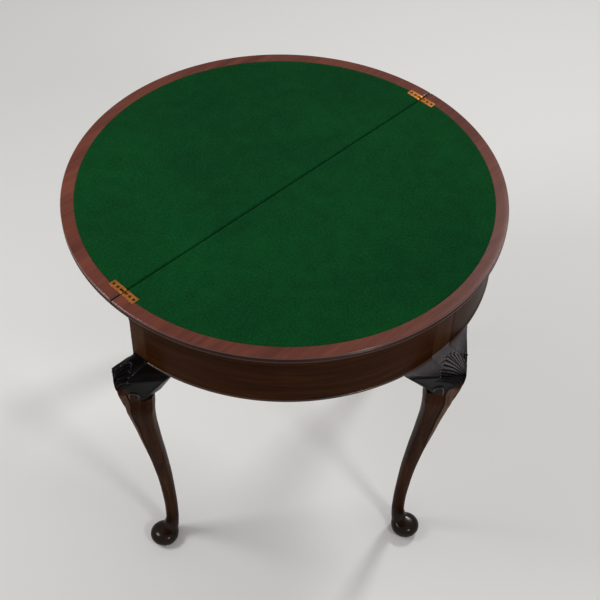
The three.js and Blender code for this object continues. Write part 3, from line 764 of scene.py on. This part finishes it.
# Three carved cabriole legs, each cut from one block of mahogany with its post and pad foot. The
# knee carries a shell of rounded lobes with a bead at the end of each, over C-scrolls and a raised
# strip that dies out down the arris. The cap round the shell is stained black.
glue = 0.0003
ankle_radius = 0.0129
ankle_height = 0.062
ankle_inset = 0.037
knee_reach = 0.060
knee_half = 0.032
knee_out = 0.008
knee_foot = 0.490
knee_blend = 0.022
knee_rise = 0.009
knee_crown = 0.585
shoulder_top = 0.606
ear_bottom = 0.515
ear_start = 0.024
ear_spread = 0.082
ear_tip = 0.007
foot_radius = 0.029
foot_height = 0.034
foot_inset = 0.012
post_depth = 0.048
flank_blend = 0.565
front_share = 0.6
corner_inset = 0.0385
carving_foot = 0.27
carving_top = 0.61
shell_foot = 0.536
shell_depth = 0.0026
moat_depth = 0.0013
strip_height = 0.0010
groove_depth = 0.0009
pearl_radius = 0.0022
pearl_sink = 0.0008
pearl_drop = 0.0004


def curve_through(points):
    """A smooth curve through points, whose slope at each is the mean of the slopes beside it."""
    places, heights = np.array(points, dtype=float).T
    secants = np.diff(heights) / np.diff(places)
    slopes = np.concatenate([secants[:1], (secants[1:] + secants[:-1]) / 2, secants[-1:]])

    def at(place):
        place = np.clip(place, places[0], places[-1])
        k = np.clip(np.searchsorted(places, place, side="right") - 1, 0, len(secants) - 1)
        width = places[k + 1] - places[k]
        p = (place - places[k]) / width
        return (heights[k] * (2 * p**3 - 3 * p**2 + 1) + slopes[k] * width * (p**3 - 2 * p**2 + p)
                + heights[k + 1] * (3 * p**2 - 2 * p**3) + slopes[k + 1] * width * (p**3 - p**2))

    return at


# Up the shank: its sway outwards, its growth, and its section's power, 2 for round and 1 for a
# diamond. Up the knee: its swell, how hollow its sides are and how far they spread. Up the foot:
# how far out the instep is and its size, and the pad's size.
sway = curve_through([(0, 0), (0.1, 0.01), (0.19, 0.06), (0.28, 0.12), (0.37, 0.2), (0.46, 0.31),
                      (0.56, 0.44), (0.65, 0.575), (0.74, 0.71), (0.84, 0.85), (0.93, 0.95), (1, 1)])
growth = curve_through([(0, 0), (0.1, 0.005), (0.19, 0.04), (0.28, 0.09), (0.37, 0.15), (0.46, 0.21),
                        (0.56, 0.28), (0.65, 0.34), (0.74, 0.435), (0.84, 0.55), (0.93, 0.77), (1, 1)])
squareness = curve_through([(0, 2), (0.15, 1.9), (0.3, 1.65), (0.5, 1.48), (0.7, 1.38), (1, 1.28)])
swell = curve_through([(0, 0.672), (0.17, 0.757), (0.34, 0.836), (0.5, 0.912), (0.64, 0.975),
                       (0.78, 1), (1, 1)])
hollowing = curve_through([(0, 0.8), (0.4, 1.2), (0.75, 1.2), (1, 1)])
spreading = curve_through([(0, 0), (0.25, 0.3), (0.5, 0.57), (0.75, 0.82), (0.9, 0.95), (1, 1)])
instep_out = curve_through([(0, 0.45), (0.6, 0.45), (0.85, 0.32), (1.1, 0.17), (1.4, 0.06), (1.82, 0)])
instep_size = curve_through([(0, 0.62), (0.6, 0.62), (0.85, 0.58), (1.1, 0.52), (1.4, 0.465),
                             (1.82, 0.445)])
pad_size = curve_through([(0, 0.72), (0.125, 0.735), (0.16, 0.84), (0.2, 0.88), (0.36, 0.97), (0.5, 1),
                          (0.66, 0.95), (0.82, 0.79), (0.92, 0.58), (0.98, 0.28), (1, 0)])


def lerp(low, high, share):
    return low + (high - low) * share


def step(value, low, high):
    """0 below low, 1 above high, and smooth between them."""
    share = np.clip((value - low) / (high - low), 0, 1)
    return share * share * (3 - 2 * share)


def hump(value, middle, width):
    """1 at the middle, and down to nothing on both sides of it."""
    return np.exp(-(((value - middle) / width) ** 2))


def frieze_face(leg, x):
    """The frieze's curve in front of a leg, or a straight line where the rail is straight."""
    if leg["bowed"]:
        return np.sqrt(frieze_radius**2 - (leg["offset"] + x) ** 2)
    return frieze_radius + 0 * x


def dome_top(leg, x):
    """The height of the knee's rounded top across the leg."""
    arch = np.maximum(0, 1 - (x / leg["half"]) ** 2)
    return frieze_bottom - glue + (knee_rise + glue) * arch


def knee_face(leg, x, h):
    """The outer face of the knee and its ears."""
    over = np.clip((h - knee_crown) / (dome_top(leg, x) - knee_crown), 0, 1)
    reach = knee_reach * swell((h - knee_foot) / (shoulder_top - knee_foot)) * (1 - over**2) ** 0.72
    up = np.clip((h - ear_bottom) / (frieze_bottom - ear_tip - ear_bottom), 0, 1)
    spread = lerp(knee_half + knee_out, ear_spread + 0.002, spreading(up))
    share = np.maximum(0, 1 - np.abs(x) / spread)
    hollow = hollowing(np.clip((h - knee_foot) / (knee_crown - knee_foot), 0, 1))
    return frieze_face(leg, x) + reach * share**hollow


def along_rays(middle, way_x, way_y, inside):
    """How far each ray runs from its middle before it leaves a shape."""
    near = np.zeros(np.broadcast(middle, way_x).shape)
    far = near + knee_reach + post_depth
    for _ in range(26):
        trial = (near + far) / 2
        held = inside(way_x * trial, middle + way_y * trial)
        near = np.where(held, trial, near)
        far = np.where(held, far, trial)
    return near


def eared(leg, x):
    """Whether a leg has an ear on the side where x is."""
    return (x > 0) & (1 in leg["ears"]) | (x < 0) & (-1 in leg["ears"])


def leg_points(leg, heights, around):
    """Rings of points on a leg's plain shape, drawn with the knee towards +Y."""
    h = heights[:, None]
    rise = np.clip((h - knee_foot) / (knee_crown - knee_foot), 0, 1)
    turn = np.linspace(-1, 1, around, endpoint=False)[None, :]
    front = np.radians(lerp(52, leg["fan"], rise)) / math.pi
    part = np.abs(turn)
    behind = front + (1 - front) * (part - front_share) / (1 - front_share)
    spun = np.where(part < front_share, front * part / front_share, behind)
    angle = math.pi / 2 + math.pi * np.sign(turn) * spun
    place = np.clip((h - ankle_height) / (knee_foot - ankle_height), 0, 1)
    centre = frieze_radius - ankle_inset + (ankle_inset + knee_out) * sway(place)
    half = lerp(ankle_radius, knee_half, growth(place))
    power = squareness(place)
    blend = np.clip((h - flank_blend) / (frieze_bottom - flank_blend), 0, 1)
    side = lerp(knee_half, leg["half"], blend**2)
    back = lerp(centre, frieze_radius - post_depth, rise)
    middle = lerp(centre, frieze_radius - post_depth / 2, rise)
    narrow = lerp(1, 2 * leg["half"] / post_depth, rise)
    way_x = -narrow * np.cos(angle)
    way_y = np.sin(angle)

    def in_shank(x, y):
        return (np.abs(x) / half) ** power + (np.abs(y - centre) / half) ** power <= 1

    def in_knee(x, y):
        flank = (np.abs(x) / side) ** power + (np.maximum(0, centre - y) / side) ** power <= 1
        post = (np.abs(x) <= leg["half"]) & (y >= back)
        whole = (flank | post) & (y <= knee_face(leg, x, h))
        start = max(0, (ear_start - leg["half"]) / (ear_spread - leg["half"]))
        level = lerp(leg["half"], leg["reach"], start)
        slope = (frieze_bottom - ear_tip - ear_bottom) / (leg["reach"] - level)
        below = h < ear_bottom + slope * np.maximum(0, np.abs(x) - level)
        return whole & (below | (np.abs(x) <= leg["half"]) | ~eared(leg, x))

    knee = step(h, knee_foot - knee_blend, knee_foot + knee_blend)
    shank_reach = along_rays(middle, way_x, way_y, in_shank)
    reach = lerp(shank_reach, along_rays(middle, way_x, way_y, in_knee), knee)
    up = h / foot_height
    instep = frieze_radius - ankle_inset + instep_out(up) * (ankle_inset - foot_inset)
    pad = frieze_radius - foot_inset
    low = lerp(pad, instep, step(h, 0.4 * foot_height, foot_height))

    def in_foot(x, y):
        from_instep = np.hypot(x, y - instep) - instep_size(up) * foot_radius
        from_pad = np.hypot(x, y - pad) - pad_size(up) * foot_radius
        from_pad = np.where(up < 1, from_pad, 1)
        from_instep = np.where(up > 0.2, from_instep, 1)
        soft = 0.005
        mix = np.clip(0.5 + 0.5 * (from_pad - from_instep) / soft, 0, 1)
        return lerp(from_pad, from_instep, mix) - soft * mix * (1 - mix) <= 0

    footed = along_rays(low, way_x, way_y, in_foot)
    reach = np.where(h < ankle_height, footed, reach)
    middle = np.where(h < ankle_height, low, middle)
    return np.stack([way_x * reach, middle + way_y * reach, h + 0 * reach], -1)


def outward(rows):
    """The direction out of the surface at each point of a set of rings."""
    around = np.roll(rows, -1, 1) - np.roll(rows, 1, 1)
    upwards = np.gradient(rows, axis=0)
    normal = np.cross(upwards, around)
    normal /= np.maximum(np.linalg.norm(normal, axis=-1, keepdims=True), 1e-12)
    return normal


def dome_heights(count):
    """Heights up the rounded top of the knee, closer together towards its crown."""
    return knee_crown + (shoulder_top - knee_crown) * np.sin(np.linspace(0, math.pi / 2, count))


def run_up(leg):
    """Distance up the knee's centre line from the foot of the shell, and the heights it is at."""
    below = np.linspace(0.44, knee_crown, 200, endpoint=False)
    heights = np.concatenate([below, dome_heights(300)])
    out = knee_face(leg, np.zeros(len(heights)), heights)
    along = np.concatenate([[0], np.cumsum(np.hypot(np.diff(heights), np.diff(out)))])
    return along - np.interp(shell_foot, heights, along), heights


def run_at(leg, t, h):
    """The same distance, called s, at points off the centre line, where the knee's top is lower.
    Here t is a point's place across the leg, and h is its height."""
    over = np.clip((h - knee_crown) / (dome_top(leg, t) - knee_crown), 0, 1)
    centred = np.where(h > knee_crown, knee_crown + over * (shoulder_top - knee_crown), h)
    run, heights = run_up(leg)
    return np.interp(centred, heights, run)


def pearl_at(leg, t, s):
    """Where a bead sits, sunk in the face, at a place across the leg and a distance up it."""
    centred = np.interp(s, *run_up(leg))
    share = max(0, (centred - knee_crown) / (shoulder_top - knee_crown))
    h = knee_crown + share * (float(dome_top(leg, t)) - knee_crown) if share else centred
    out = float(knee_face(leg, np.array(t), np.array(h)))
    return np.array([t, out - pearl_sink, h - pearl_drop])


def shell_rim(leg):
    """The shell's outline from its lower left round the top, and the distance along it."""
    half = np.array(leg["rim"]) * 0.001
    rim = np.concatenate([half[:0:-1] * (-1, 1), half])
    places = np.concatenate([[0], np.cumsum(np.hypot(*np.diff(rim, axis=0).T))])
    even = np.linspace(0, places[-1], 160)
    rim = np.stack([np.interp(even, places, rim[:, 0]), np.interp(even, places, rim[:, 1])], 1)
    return rim, even / even[-1]


def pearls(leg):
    """The places of the beads, one at the end of each lobe of the shell."""
    rim, share = shell_rim(leg)
    ends = (np.arange(leg["lobes"]) + 0.5) / leg["lobes"]
    across = np.interp(ends, share, rim[:, 0]) * 1.02
    up = np.interp(ends, share, rim[:, 1]) + 0.0012
    return [pearl_at(leg, t, s) for t, s in zip(across, up)]


def scroll(leg):
    """Balls along a C-scroll on each side of the knee, with a larger one where it starts."""
    balls = []
    for side in (-1, 1):
        curl = np.array(leg["curl"]) * (side * 0.001, 0.001)
        along = np.linspace(0, len(curl) - 1, 60)
        t = np.interp(along, range(len(curl)), curl[:, 0])
        h = np.interp(along, range(len(curl)), curl[:, 1])
        sizes = np.interp(along, [0, 2, 5, 7], [0.0024, 0.0024, 0.0018, 0.0008])
        places = np.stack([t, knee_face(leg, t, h), h], 1)
        balls += zip(places, sizes)
        balls.append((places[0], 0.0032))
    return balls


def shell(leg, t, h, s):
    """The shell's rounded lobes, which end level with the face, and the moat round its rim."""
    rim, share = shell_rim(leg)
    bend = 2 * rim[:, 0] / (rim[:, 0] ** 2 + rim[:, 1] ** 2)
    wide = rim[:, 0].max()
    splay = np.sign(t) * wide * (np.abs(t) / wide) ** leg["splay"]
    spot = np.interp(2 * splay / np.maximum(splay**2 + s**2, 1e-8), bend, share * leg["lobes"])
    ridge = np.abs(np.sin(math.pi * spot)) ** 0.7
    away = np.hypot(t, s)
    turn = np.arctan2(rim[:, 0], rim[:, 1])
    reach = np.interp(np.arctan2(t, s), turn, np.hypot(*rim.T))
    heel_t, heel_s = rim[-1]
    heel = (heel_t**2 + heel_s**2) / (2 * heel_t)
    from_heel = (np.hypot(np.abs(t) - heel, s) - heel) * 0.8
    edge = np.minimum(reach - away, from_heel) + 0.0010 * (ridge - 0.4)
    from_seam = np.maximum(frieze_bottom - h, dome_top(leg, t) - frieze_bottom)
    shown = step(from_seam, 0.0010, 0.0045)
    inside = step(edge, -0.0002, 0.0013) * step(s, 0.002, 0.012) * shown
    deep = shell_depth * np.clip(away / 0.05, 0.25, 1)
    moat = hump(edge, -0.0016, 0.0015) * step(s, 0.012, 0.03) * shown
    return inside * deep * (ridge - 1) - moat_depth * moat


def arris_strip(leg, t, h):
    """The raised strip down the knee's arris, with a groove along each side of it."""
    heights = [0.30, 0.35, 0.40, 0.45, 0.505, 0.530, 0.545]
    widths = [0.0045, 0.0055, 0.007, 0.009, 0.0105, 0.0125, 0.0135]
    past = np.abs(t) - np.interp(h, heights, widths) * leg["strip"]
    raised = strip_height * (1 - step(past, -0.0009, 0.0002))
    groove = groove_depth * hump(past, 0.0010, 0.0008)
    return step(h, 0.285, 0.36) * (1 - step(h, shell_foot, 0.556)) * (raised - groove)


def relief(leg, rows):
    """How far the carving stands out of the face at each point."""
    t, h = rows[..., 0], rows[..., 2]
    height = shell(leg, t, h, run_at(leg, t, h)) + arris_strip(leg, t, h)
    for centre, radius in scroll(leg):
        away = np.linalg.norm(rows - centre, axis=-1)
        ball = np.sqrt(np.maximum(0, radius**2 - away**2))
        height = np.where(away < radius, np.maximum(height, ball), height)
    return height


def blackened(leg, rows):
    """How black the stain is at each point, from 0 on the brown wood below to 1 on the cap."""
    t, y, h = rows[..., 0], rows[..., 1], rows[..., 2]
    line = np.interp(np.abs(t), *np.array(leg["stain"]) * 0.001)
    return step(h - line, -0.0025, 0.0035) * (h < shoulder_top) * (y > frieze_face(leg, t) - 0.002)


def leg_wood():
    """Dark polished mahogany, black where it is stained and bright where it is rubbed. The front
    leg's cap has a painted grey highlight towards the top, the hollows of the carving have painted
    shade, and the feet are darker and glossier."""
    wood = Finish("carved_mahogany", {"Coat Roughness": 0.17, "Specular IOR Level": 0.02})
    fibre = wood.figure((16.0, 700.0, 700.0), 5.0, 0.6)
    ribbon = wood.figure((4.0, 70.0, 70.0), 3.0, 0.5, 0.8)
    pores = wood.figure((150.0, 2300.0, 2300.0), 2.0, 0.5).clamped(0.62, 0.74)
    patch = wood.noise((60.0, 60.0, 60.0), 4.0, 0.6, 0.5)
    stain = wood.add("ShaderNodeAttribute", {"attribute_name": "stain"}, output="Fac")
    carving = wood.add("ShaderNodeAttribute", {"attribute_name": "relief"}, output="Fac")
    high = carving.clamped(0.0004, 0.0016)
    sunk = 1 - carving.clamped(-0.0016, -0.0002)
    brown = wood.tinted([
        (0.20, paint(22, 9, 2)),
        (0.42, paint(40, 19, 7)),
        (0.62, paint(62, 35, 16)),
        (0.85, paint(104, 68, 42)),
    ], fibre * 0.45 + ribbon * 0.55 + carving.clamped(0.0002, 0.0010) * 0.2)
    black = wood.tinted([
        (0.25, paint(6, 4, 4)),
        (0.60, paint(13, 10, 10)),
        (0.90, paint(34, 25, 21)),
    ], patch * 0.7 + fibre * 0.2 + high * 0.12)
    up = wood.place("Z")
    brown = wood.mixed(up.clamped(frieze_bottom - 0.001, frieze_bottom) * 0.35, brown, paint(82, 52, 30))
    # A painted highlight: the front leg's black cap is mixed towards light grey near the frieze, less in
    # the hollows.
    front = 1 - wood.place("Y").clamped(-0.38, -0.33)
    wear_and_painted_highlight = up.clamped(frieze_bottom - 0.010, frieze_bottom + 0.002) * front * (patch * 0.5 + 0.4)
    black = wood.mixed(wear_and_painted_highlight * (1 - sunk * 0.8) * 0.8, black, paint(138, 130, 134))
    foot = 1 - up.clamped(0.03, 0.07)
    brown = wood.mixed(0.7 - up.clamped(0.03, 0.12) * 0.7, brown, paint(12, 7, 5))
    colour = wood.mixed(stain, brown, black)
    # Painted shade in the hollows of the carving, mixed towards near black together with the dark pores.
    colour = wood.mixed(sunk * 0.75 + pores * 0.2, colour, paint(6, 4, 4))
    wood.set(wood.shader, {
        "Base Color": colour,
        "Roughness": 0.36 - stain * 0.08 + patch * 0.12 + sunk * 0.2 - high * 0.12 - foot * 0.08,
        "Coat Weight": 0.02 + stain * 0.05 - sunk * 0.02 + high * 0.5 + foot * 0.36,
    })
    wood.bumped(fibre * 0.4 - pores * 0.5 + patch * 0.5, 0.00015, 0.5)
    return wood.material


carved_wood = leg_wood()
bead_row = Recipe("shell_beads", [])
ball = bead_row.add("GeometryNodeMeshIcoSphere", values={"Radius": 1.0, "Subdivisions": 4})
ball_size = bead_row.add("GeometryNodeInputNamedAttribute", {"data_type": "FLOAT"}, {"Name": "radius"})
row = bead_row.add("GeometryNodeInstanceOnPoints", values={
    "Points": bead_row.given("Geometry"),
    "Instance": ball,
    "Scale": ball_size,
})
bead_row.finished(row, carved_wood)


def upright(p):
    """Grain that runs up the piece."""
    return np.stack([p[:, 2], p[:, 0], p[:, 1]], 1)


def settle(mesh, leg, stain, height):
    """Keeps a mesh's grain, stain and carving, and moves it to where its leg stands."""
    grain(mesh, upright)
    store(mesh, "stain", stain.ravel())
    store(mesh, "relief", height.ravel())
    x, y = leg["place"]
    mesh.transform(Matrix.Translation((x, y + fold_y, 0)) @ Matrix.Rotation(leg["turn"], 4, "Z"))


def leg_piece(name, leg, body, detail):
    """Builds a leg, carves it where it is carved, and puts it in its place. The detail says how
    many rings each stretch of it has, and how many points go round."""
    heights = np.concatenate([
        np.linspace(0, ankle_height, detail["foot"], endpoint=False),
        np.linspace(ankle_height, knee_foot, detail["shank"], endpoint=False),
        np.linspace(knee_foot, ear_bottom, detail["knee"] // 3, endpoint=False),
        np.linspace(ear_bottom, knee_crown, detail["knee"], endpoint=False),
        dome_heights(detail["dome"]),
        [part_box(name)[1].z],
    ])
    rows = leg_points(leg, heights, detail["around"])
    rows[-1, :, :2] = rows[-2, :, :2]
    stain = height = np.zeros(rows.shape[:2])
    if leg["carved"]:
        normal = outward(rows)
        y, h = rows[..., 1], rows[..., 2]
        clear = lerp(0.36, frieze_radius + 0.0008, step(h, 0.45, 0.5))
        faced = (h > carving_foot) & (h < carving_top) & (normal[..., 1] > -0.1) & (y > clear)
        stain = blackened(leg, rows)
        height = np.where(faced, relief(leg, rows), 0)
        rows = rows + normal * height[..., None]
        places = pearls(leg)
        beads = bead_row.mesh(name, marks(name, places, radius=[pearl_radius] * len(places)), {})
        whole = np.ones(len(beads.vertices))
        settle(beads, leg, whole, 0.0018 * whole)
        smooth(beads, 60)
        new_piece(name + "_beads", beads, body)
    mesh = skin(name, rows)
    mesh.flip_normals()
    settle(mesh, leg, stain, height)
    smooth(mesh, 34)
    mesh.materials.append(carved_wood)
    return new_piece(name + "_carved", mesh, body, name)


# Half is half the width of a leg's post, and reach is how far its ears go to each side. The rim
# of the shell, the curl of the scroll and the edge of the stain are in millimetres.
front_leg = {
    "turn": math.pi, "place": (0, 0), "offset": 0.0, "half": 0.024, "reach": 0.082,
    "ears": (-1, 1), "bowed": True, "fan": 22, "carved": True, "splay": 0.75, "lobes": 15, "strip": 1.0,
    "rim": [(0, 97.5), (5.5, 97), (10, 95.5), (14.5, 92.5), (19, 88), (23, 83), (28, 76), (32.5, 66.5),
            (35.3, 57), (35, 47), (32, 38)],
    "curl": [(28.8, 531), (29.5, 538), (27.5, 544.5), (23.5, 546), (20.0, 541), (17.5, 532),
             (15.0, 520), (13.0, 507)],
    "stain": [(0, 5, 9, 13, 18, 24, 90), (586, 560, 540, 534, 524, 515, 500)],
}
left_leg = {
    "turn": math.pi / 2, "place": (0, -corner_inset), "offset": -corner_inset, "half": 0.0175,
    "reach": 0.062, "ears": (-1,), "bowed": True, "fan": 22, "carved": True,
    "splay": 0.42, "lobes": 8, "strip": 0.62,
    "rim": [(0, 92), (3.5, 90.5), (5.8, 86), (8, 79.5), (10.7, 73.5), (13.5, 67.5), (16, 60), (17.2, 53.5),
            (17.2, 46)],
    "curl": [(19.2, 528), (20.8, 535), (19.8, 542.5), (16.8, 547), (13.4, 547), (11.0, 541),
             (9.5, 530), (8.0, 514)],
    "stain": [(0, 4, 8, 12, 15.5, 17.5, 90), (586, 576, 568, 560, 540, 522, 500)],
}
right_leg = dict(left_leg, turn=-math.pi / 2, offset=corner_inset, ears=(1,))
fine = {"foot": 42, "shank": 104, "knee": 92, "dome": 82, "around": 250}
for name, leg in (("front_leg", front_leg), ("left_leg", left_leg), ("right_leg", right_leg)):
    leg_piece(name, leg, "frame", fine)

# The fly leg under the opened leaf: a plainer cabriole leg of the same mahogany, without carving
# or ears, cut with its post and foot from one block and fixed to the end of the fly rail.
fly_leg = {
    "turn": 0, "place": (0.106, -0.0115), "offset": 0.0, "half": 0.0165, "reach": 0.062,
    "ears": (), "bowed": False, "fan": 40, "carved": False,
}
leg_piece("fly_leg", fly_leg, "fly_gate", {"foot": 42, "shank": 60, "knee": 40, "dome": 30, "around": 96})

# Four ears: shaped blocks glued under the rail beside the knees, whose polished black faces
# carry the swell of the knee out to nothing at the tip.
ear_depth = 0.020
ear_taper = 0.6
ear_rounding = 0.0045
ear_ridge = 0.0016


def ear_piece(name, leg, side):
    """An ear with a rounded lower edge, a soft ridge above it and its share of the carving."""
    start = leg["half"] + glue
    share = np.linspace(0, 1, 190)[:, None] ** 1.25
    up = np.linspace(0, 1, 130)[None, :]
    across = side * lerp(start, leg["reach"], share)
    swelled = side * lerp(start, ear_spread, share)
    edge = np.clip((np.abs(swelled) - ear_start) / (ear_spread - ear_start), 0, 1)
    bottom = lerp(ear_bottom, frieze_bottom - ear_tip, edge) + glue
    top = frieze_bottom - glue
    height = lerp(bottom, top, up**1.1)
    proud = knee_face(leg, swelled + 0 * up, height) - frieze_face(leg, swelled)
    soft = 0.0035 * step(share, 0.1, 0.5)
    proud = (proud + np.sqrt(proud**2 + soft**2)) / 2
    near = np.clip(ear_rounding - (height - bottom), 0, ear_rounding)
    rounded = ear_rounding - np.sqrt(ear_rounding**2 - near**2)
    clear = step(np.abs(across), knee_half - 0.003, knee_half + 0.005)
    proud = proud - rounded * np.clip(proud / 0.006, 0, 1) * clear
    ridge = hump(height - bottom, lerp(0.0085, 0.0020, share), 0.0034)
    proud = proud + ear_ridge * ridge * step(share, 0.1, 0.35) * (1 - step(share, 0.8, 1.0))
    face = np.stack([across + 0 * up, frieze_face(leg, across) + np.maximum(proud, 0), height], -1)
    rise = np.gradient(face, axis=1)
    normal = np.cross(rise, np.gradient(face, axis=0) * side)
    normal /= np.maximum(np.linalg.norm(normal, axis=-1, keepdims=True), 1e-12)
    stand = relief(leg, face) * (1 - step(share, 0.25, 0.4)) * step(up, 0, 0.03) * (1 - step(up, 0.97, 1))
    face = face + normal * stand[..., None]
    back = frieze_face(leg, across) - ear_depth * (1 - ear_taper * share)
    upper = np.stack([across, back, top + 0 * across], -1)
    lower = np.stack([across, back, bottom], -1)
    rows = np.concatenate([upper, lower, face], 1)
    mesh = skin(name, rows)
    if side < 0:
        mesh.flip_normals()
    carving = np.zeros(rows.shape[:2])
    carving[:, 2:] = stand
    settle(mesh, leg, np.ones(rows.shape[:2]), carving)
    smooth(mesh, 50)
    mesh.materials.append(carved_wood)
    return new_piece(name + "_carved", mesh, "frame", name)


ear_piece("front_right_ear", front_leg, -1)
ear_piece("front_left_ear", front_leg, 1)
ear_piece("left_ear", left_leg, -1)
ear_piece("right_ear", right_leg, 1)

# Inside the frame: bare pine rails and glue blocks, and the fly rail with the wooden knuckle joint
# it swings on. Dull steel screws hold the fixed leaf from below and the fixed fly rail from behind.


def pine(name):
    """Bare old pine, yellow-brown, with darker late wood and grey dust."""
    wood = Finish(name, {"Specular IOR Level": 0.25})
    rings = wood.figure((1.6, 120.0, 34.0), 2.0, 0.45, 1.2)
    fibre = wood.figure((14.0, 800.0, 800.0), 4.0, 0.6)
    dirt = wood.noise((24, 24, 24), 5.0, 0.65, 0.4)
    tones = [(0.3, paint(92, 62, 38)), (0.5, paint(140, 102, 64)), (0.68, paint(168, 128, 84))]
    colour = wood.tinted(tones, rings * 0.6 + fibre * 0.4)
    colour = wood.mixed(dirt.clamped(0.45, 0.8) * 0.6, colour, paint(84, 66, 50))
    wood.set(wood.shader, {"Base Color": colour, "Roughness": 0.75 + fibre * 0.15})
    wood.bumped(fibre * 0.7 + rings * 0.3, 0.0003, 0.6)
    return wood.material


def lengthwise(p):
    """Grain that runs from the front to the back."""
    return np.stack([p[:, 1], p[:, 0], p[:, 2]], 1)


bare = pine("bare_pine")
for name in ("glue_block_1", "glue_block_2", "glue_block_3", "glue_block_4", "back_rail", "fixed_fly_rail"):
    dressed(name, "frame", 0.0006, bare, crosswise)
dressed("fly_rail", "fly_gate", 0.0006, bare, lengthwise)
dressed("knuckle_pin", "frame", 0.0003, steel, crosswise, 40)
steel_screw = slotted_screw(steel)
tilts = [(math.pi, 0, turn) for turn in (0.4, 1.9, 2.7, 1.1)]
names = ["top_screw_" + number for number in "1234"]
screw_set("top_screws", steel_screw, "frame", 0.0024, 0.0011, names, "bottom", tilts)
tilts = [(-math.pi / 2, turn, 0) for turn in (0.8, 2.3, 1.5)]
names = ["fly_screw_" + number for number in "123"]
screw_set("fly_screws", steel_screw, "frame", 0.0024, 0.0011, names, "back", tilts)
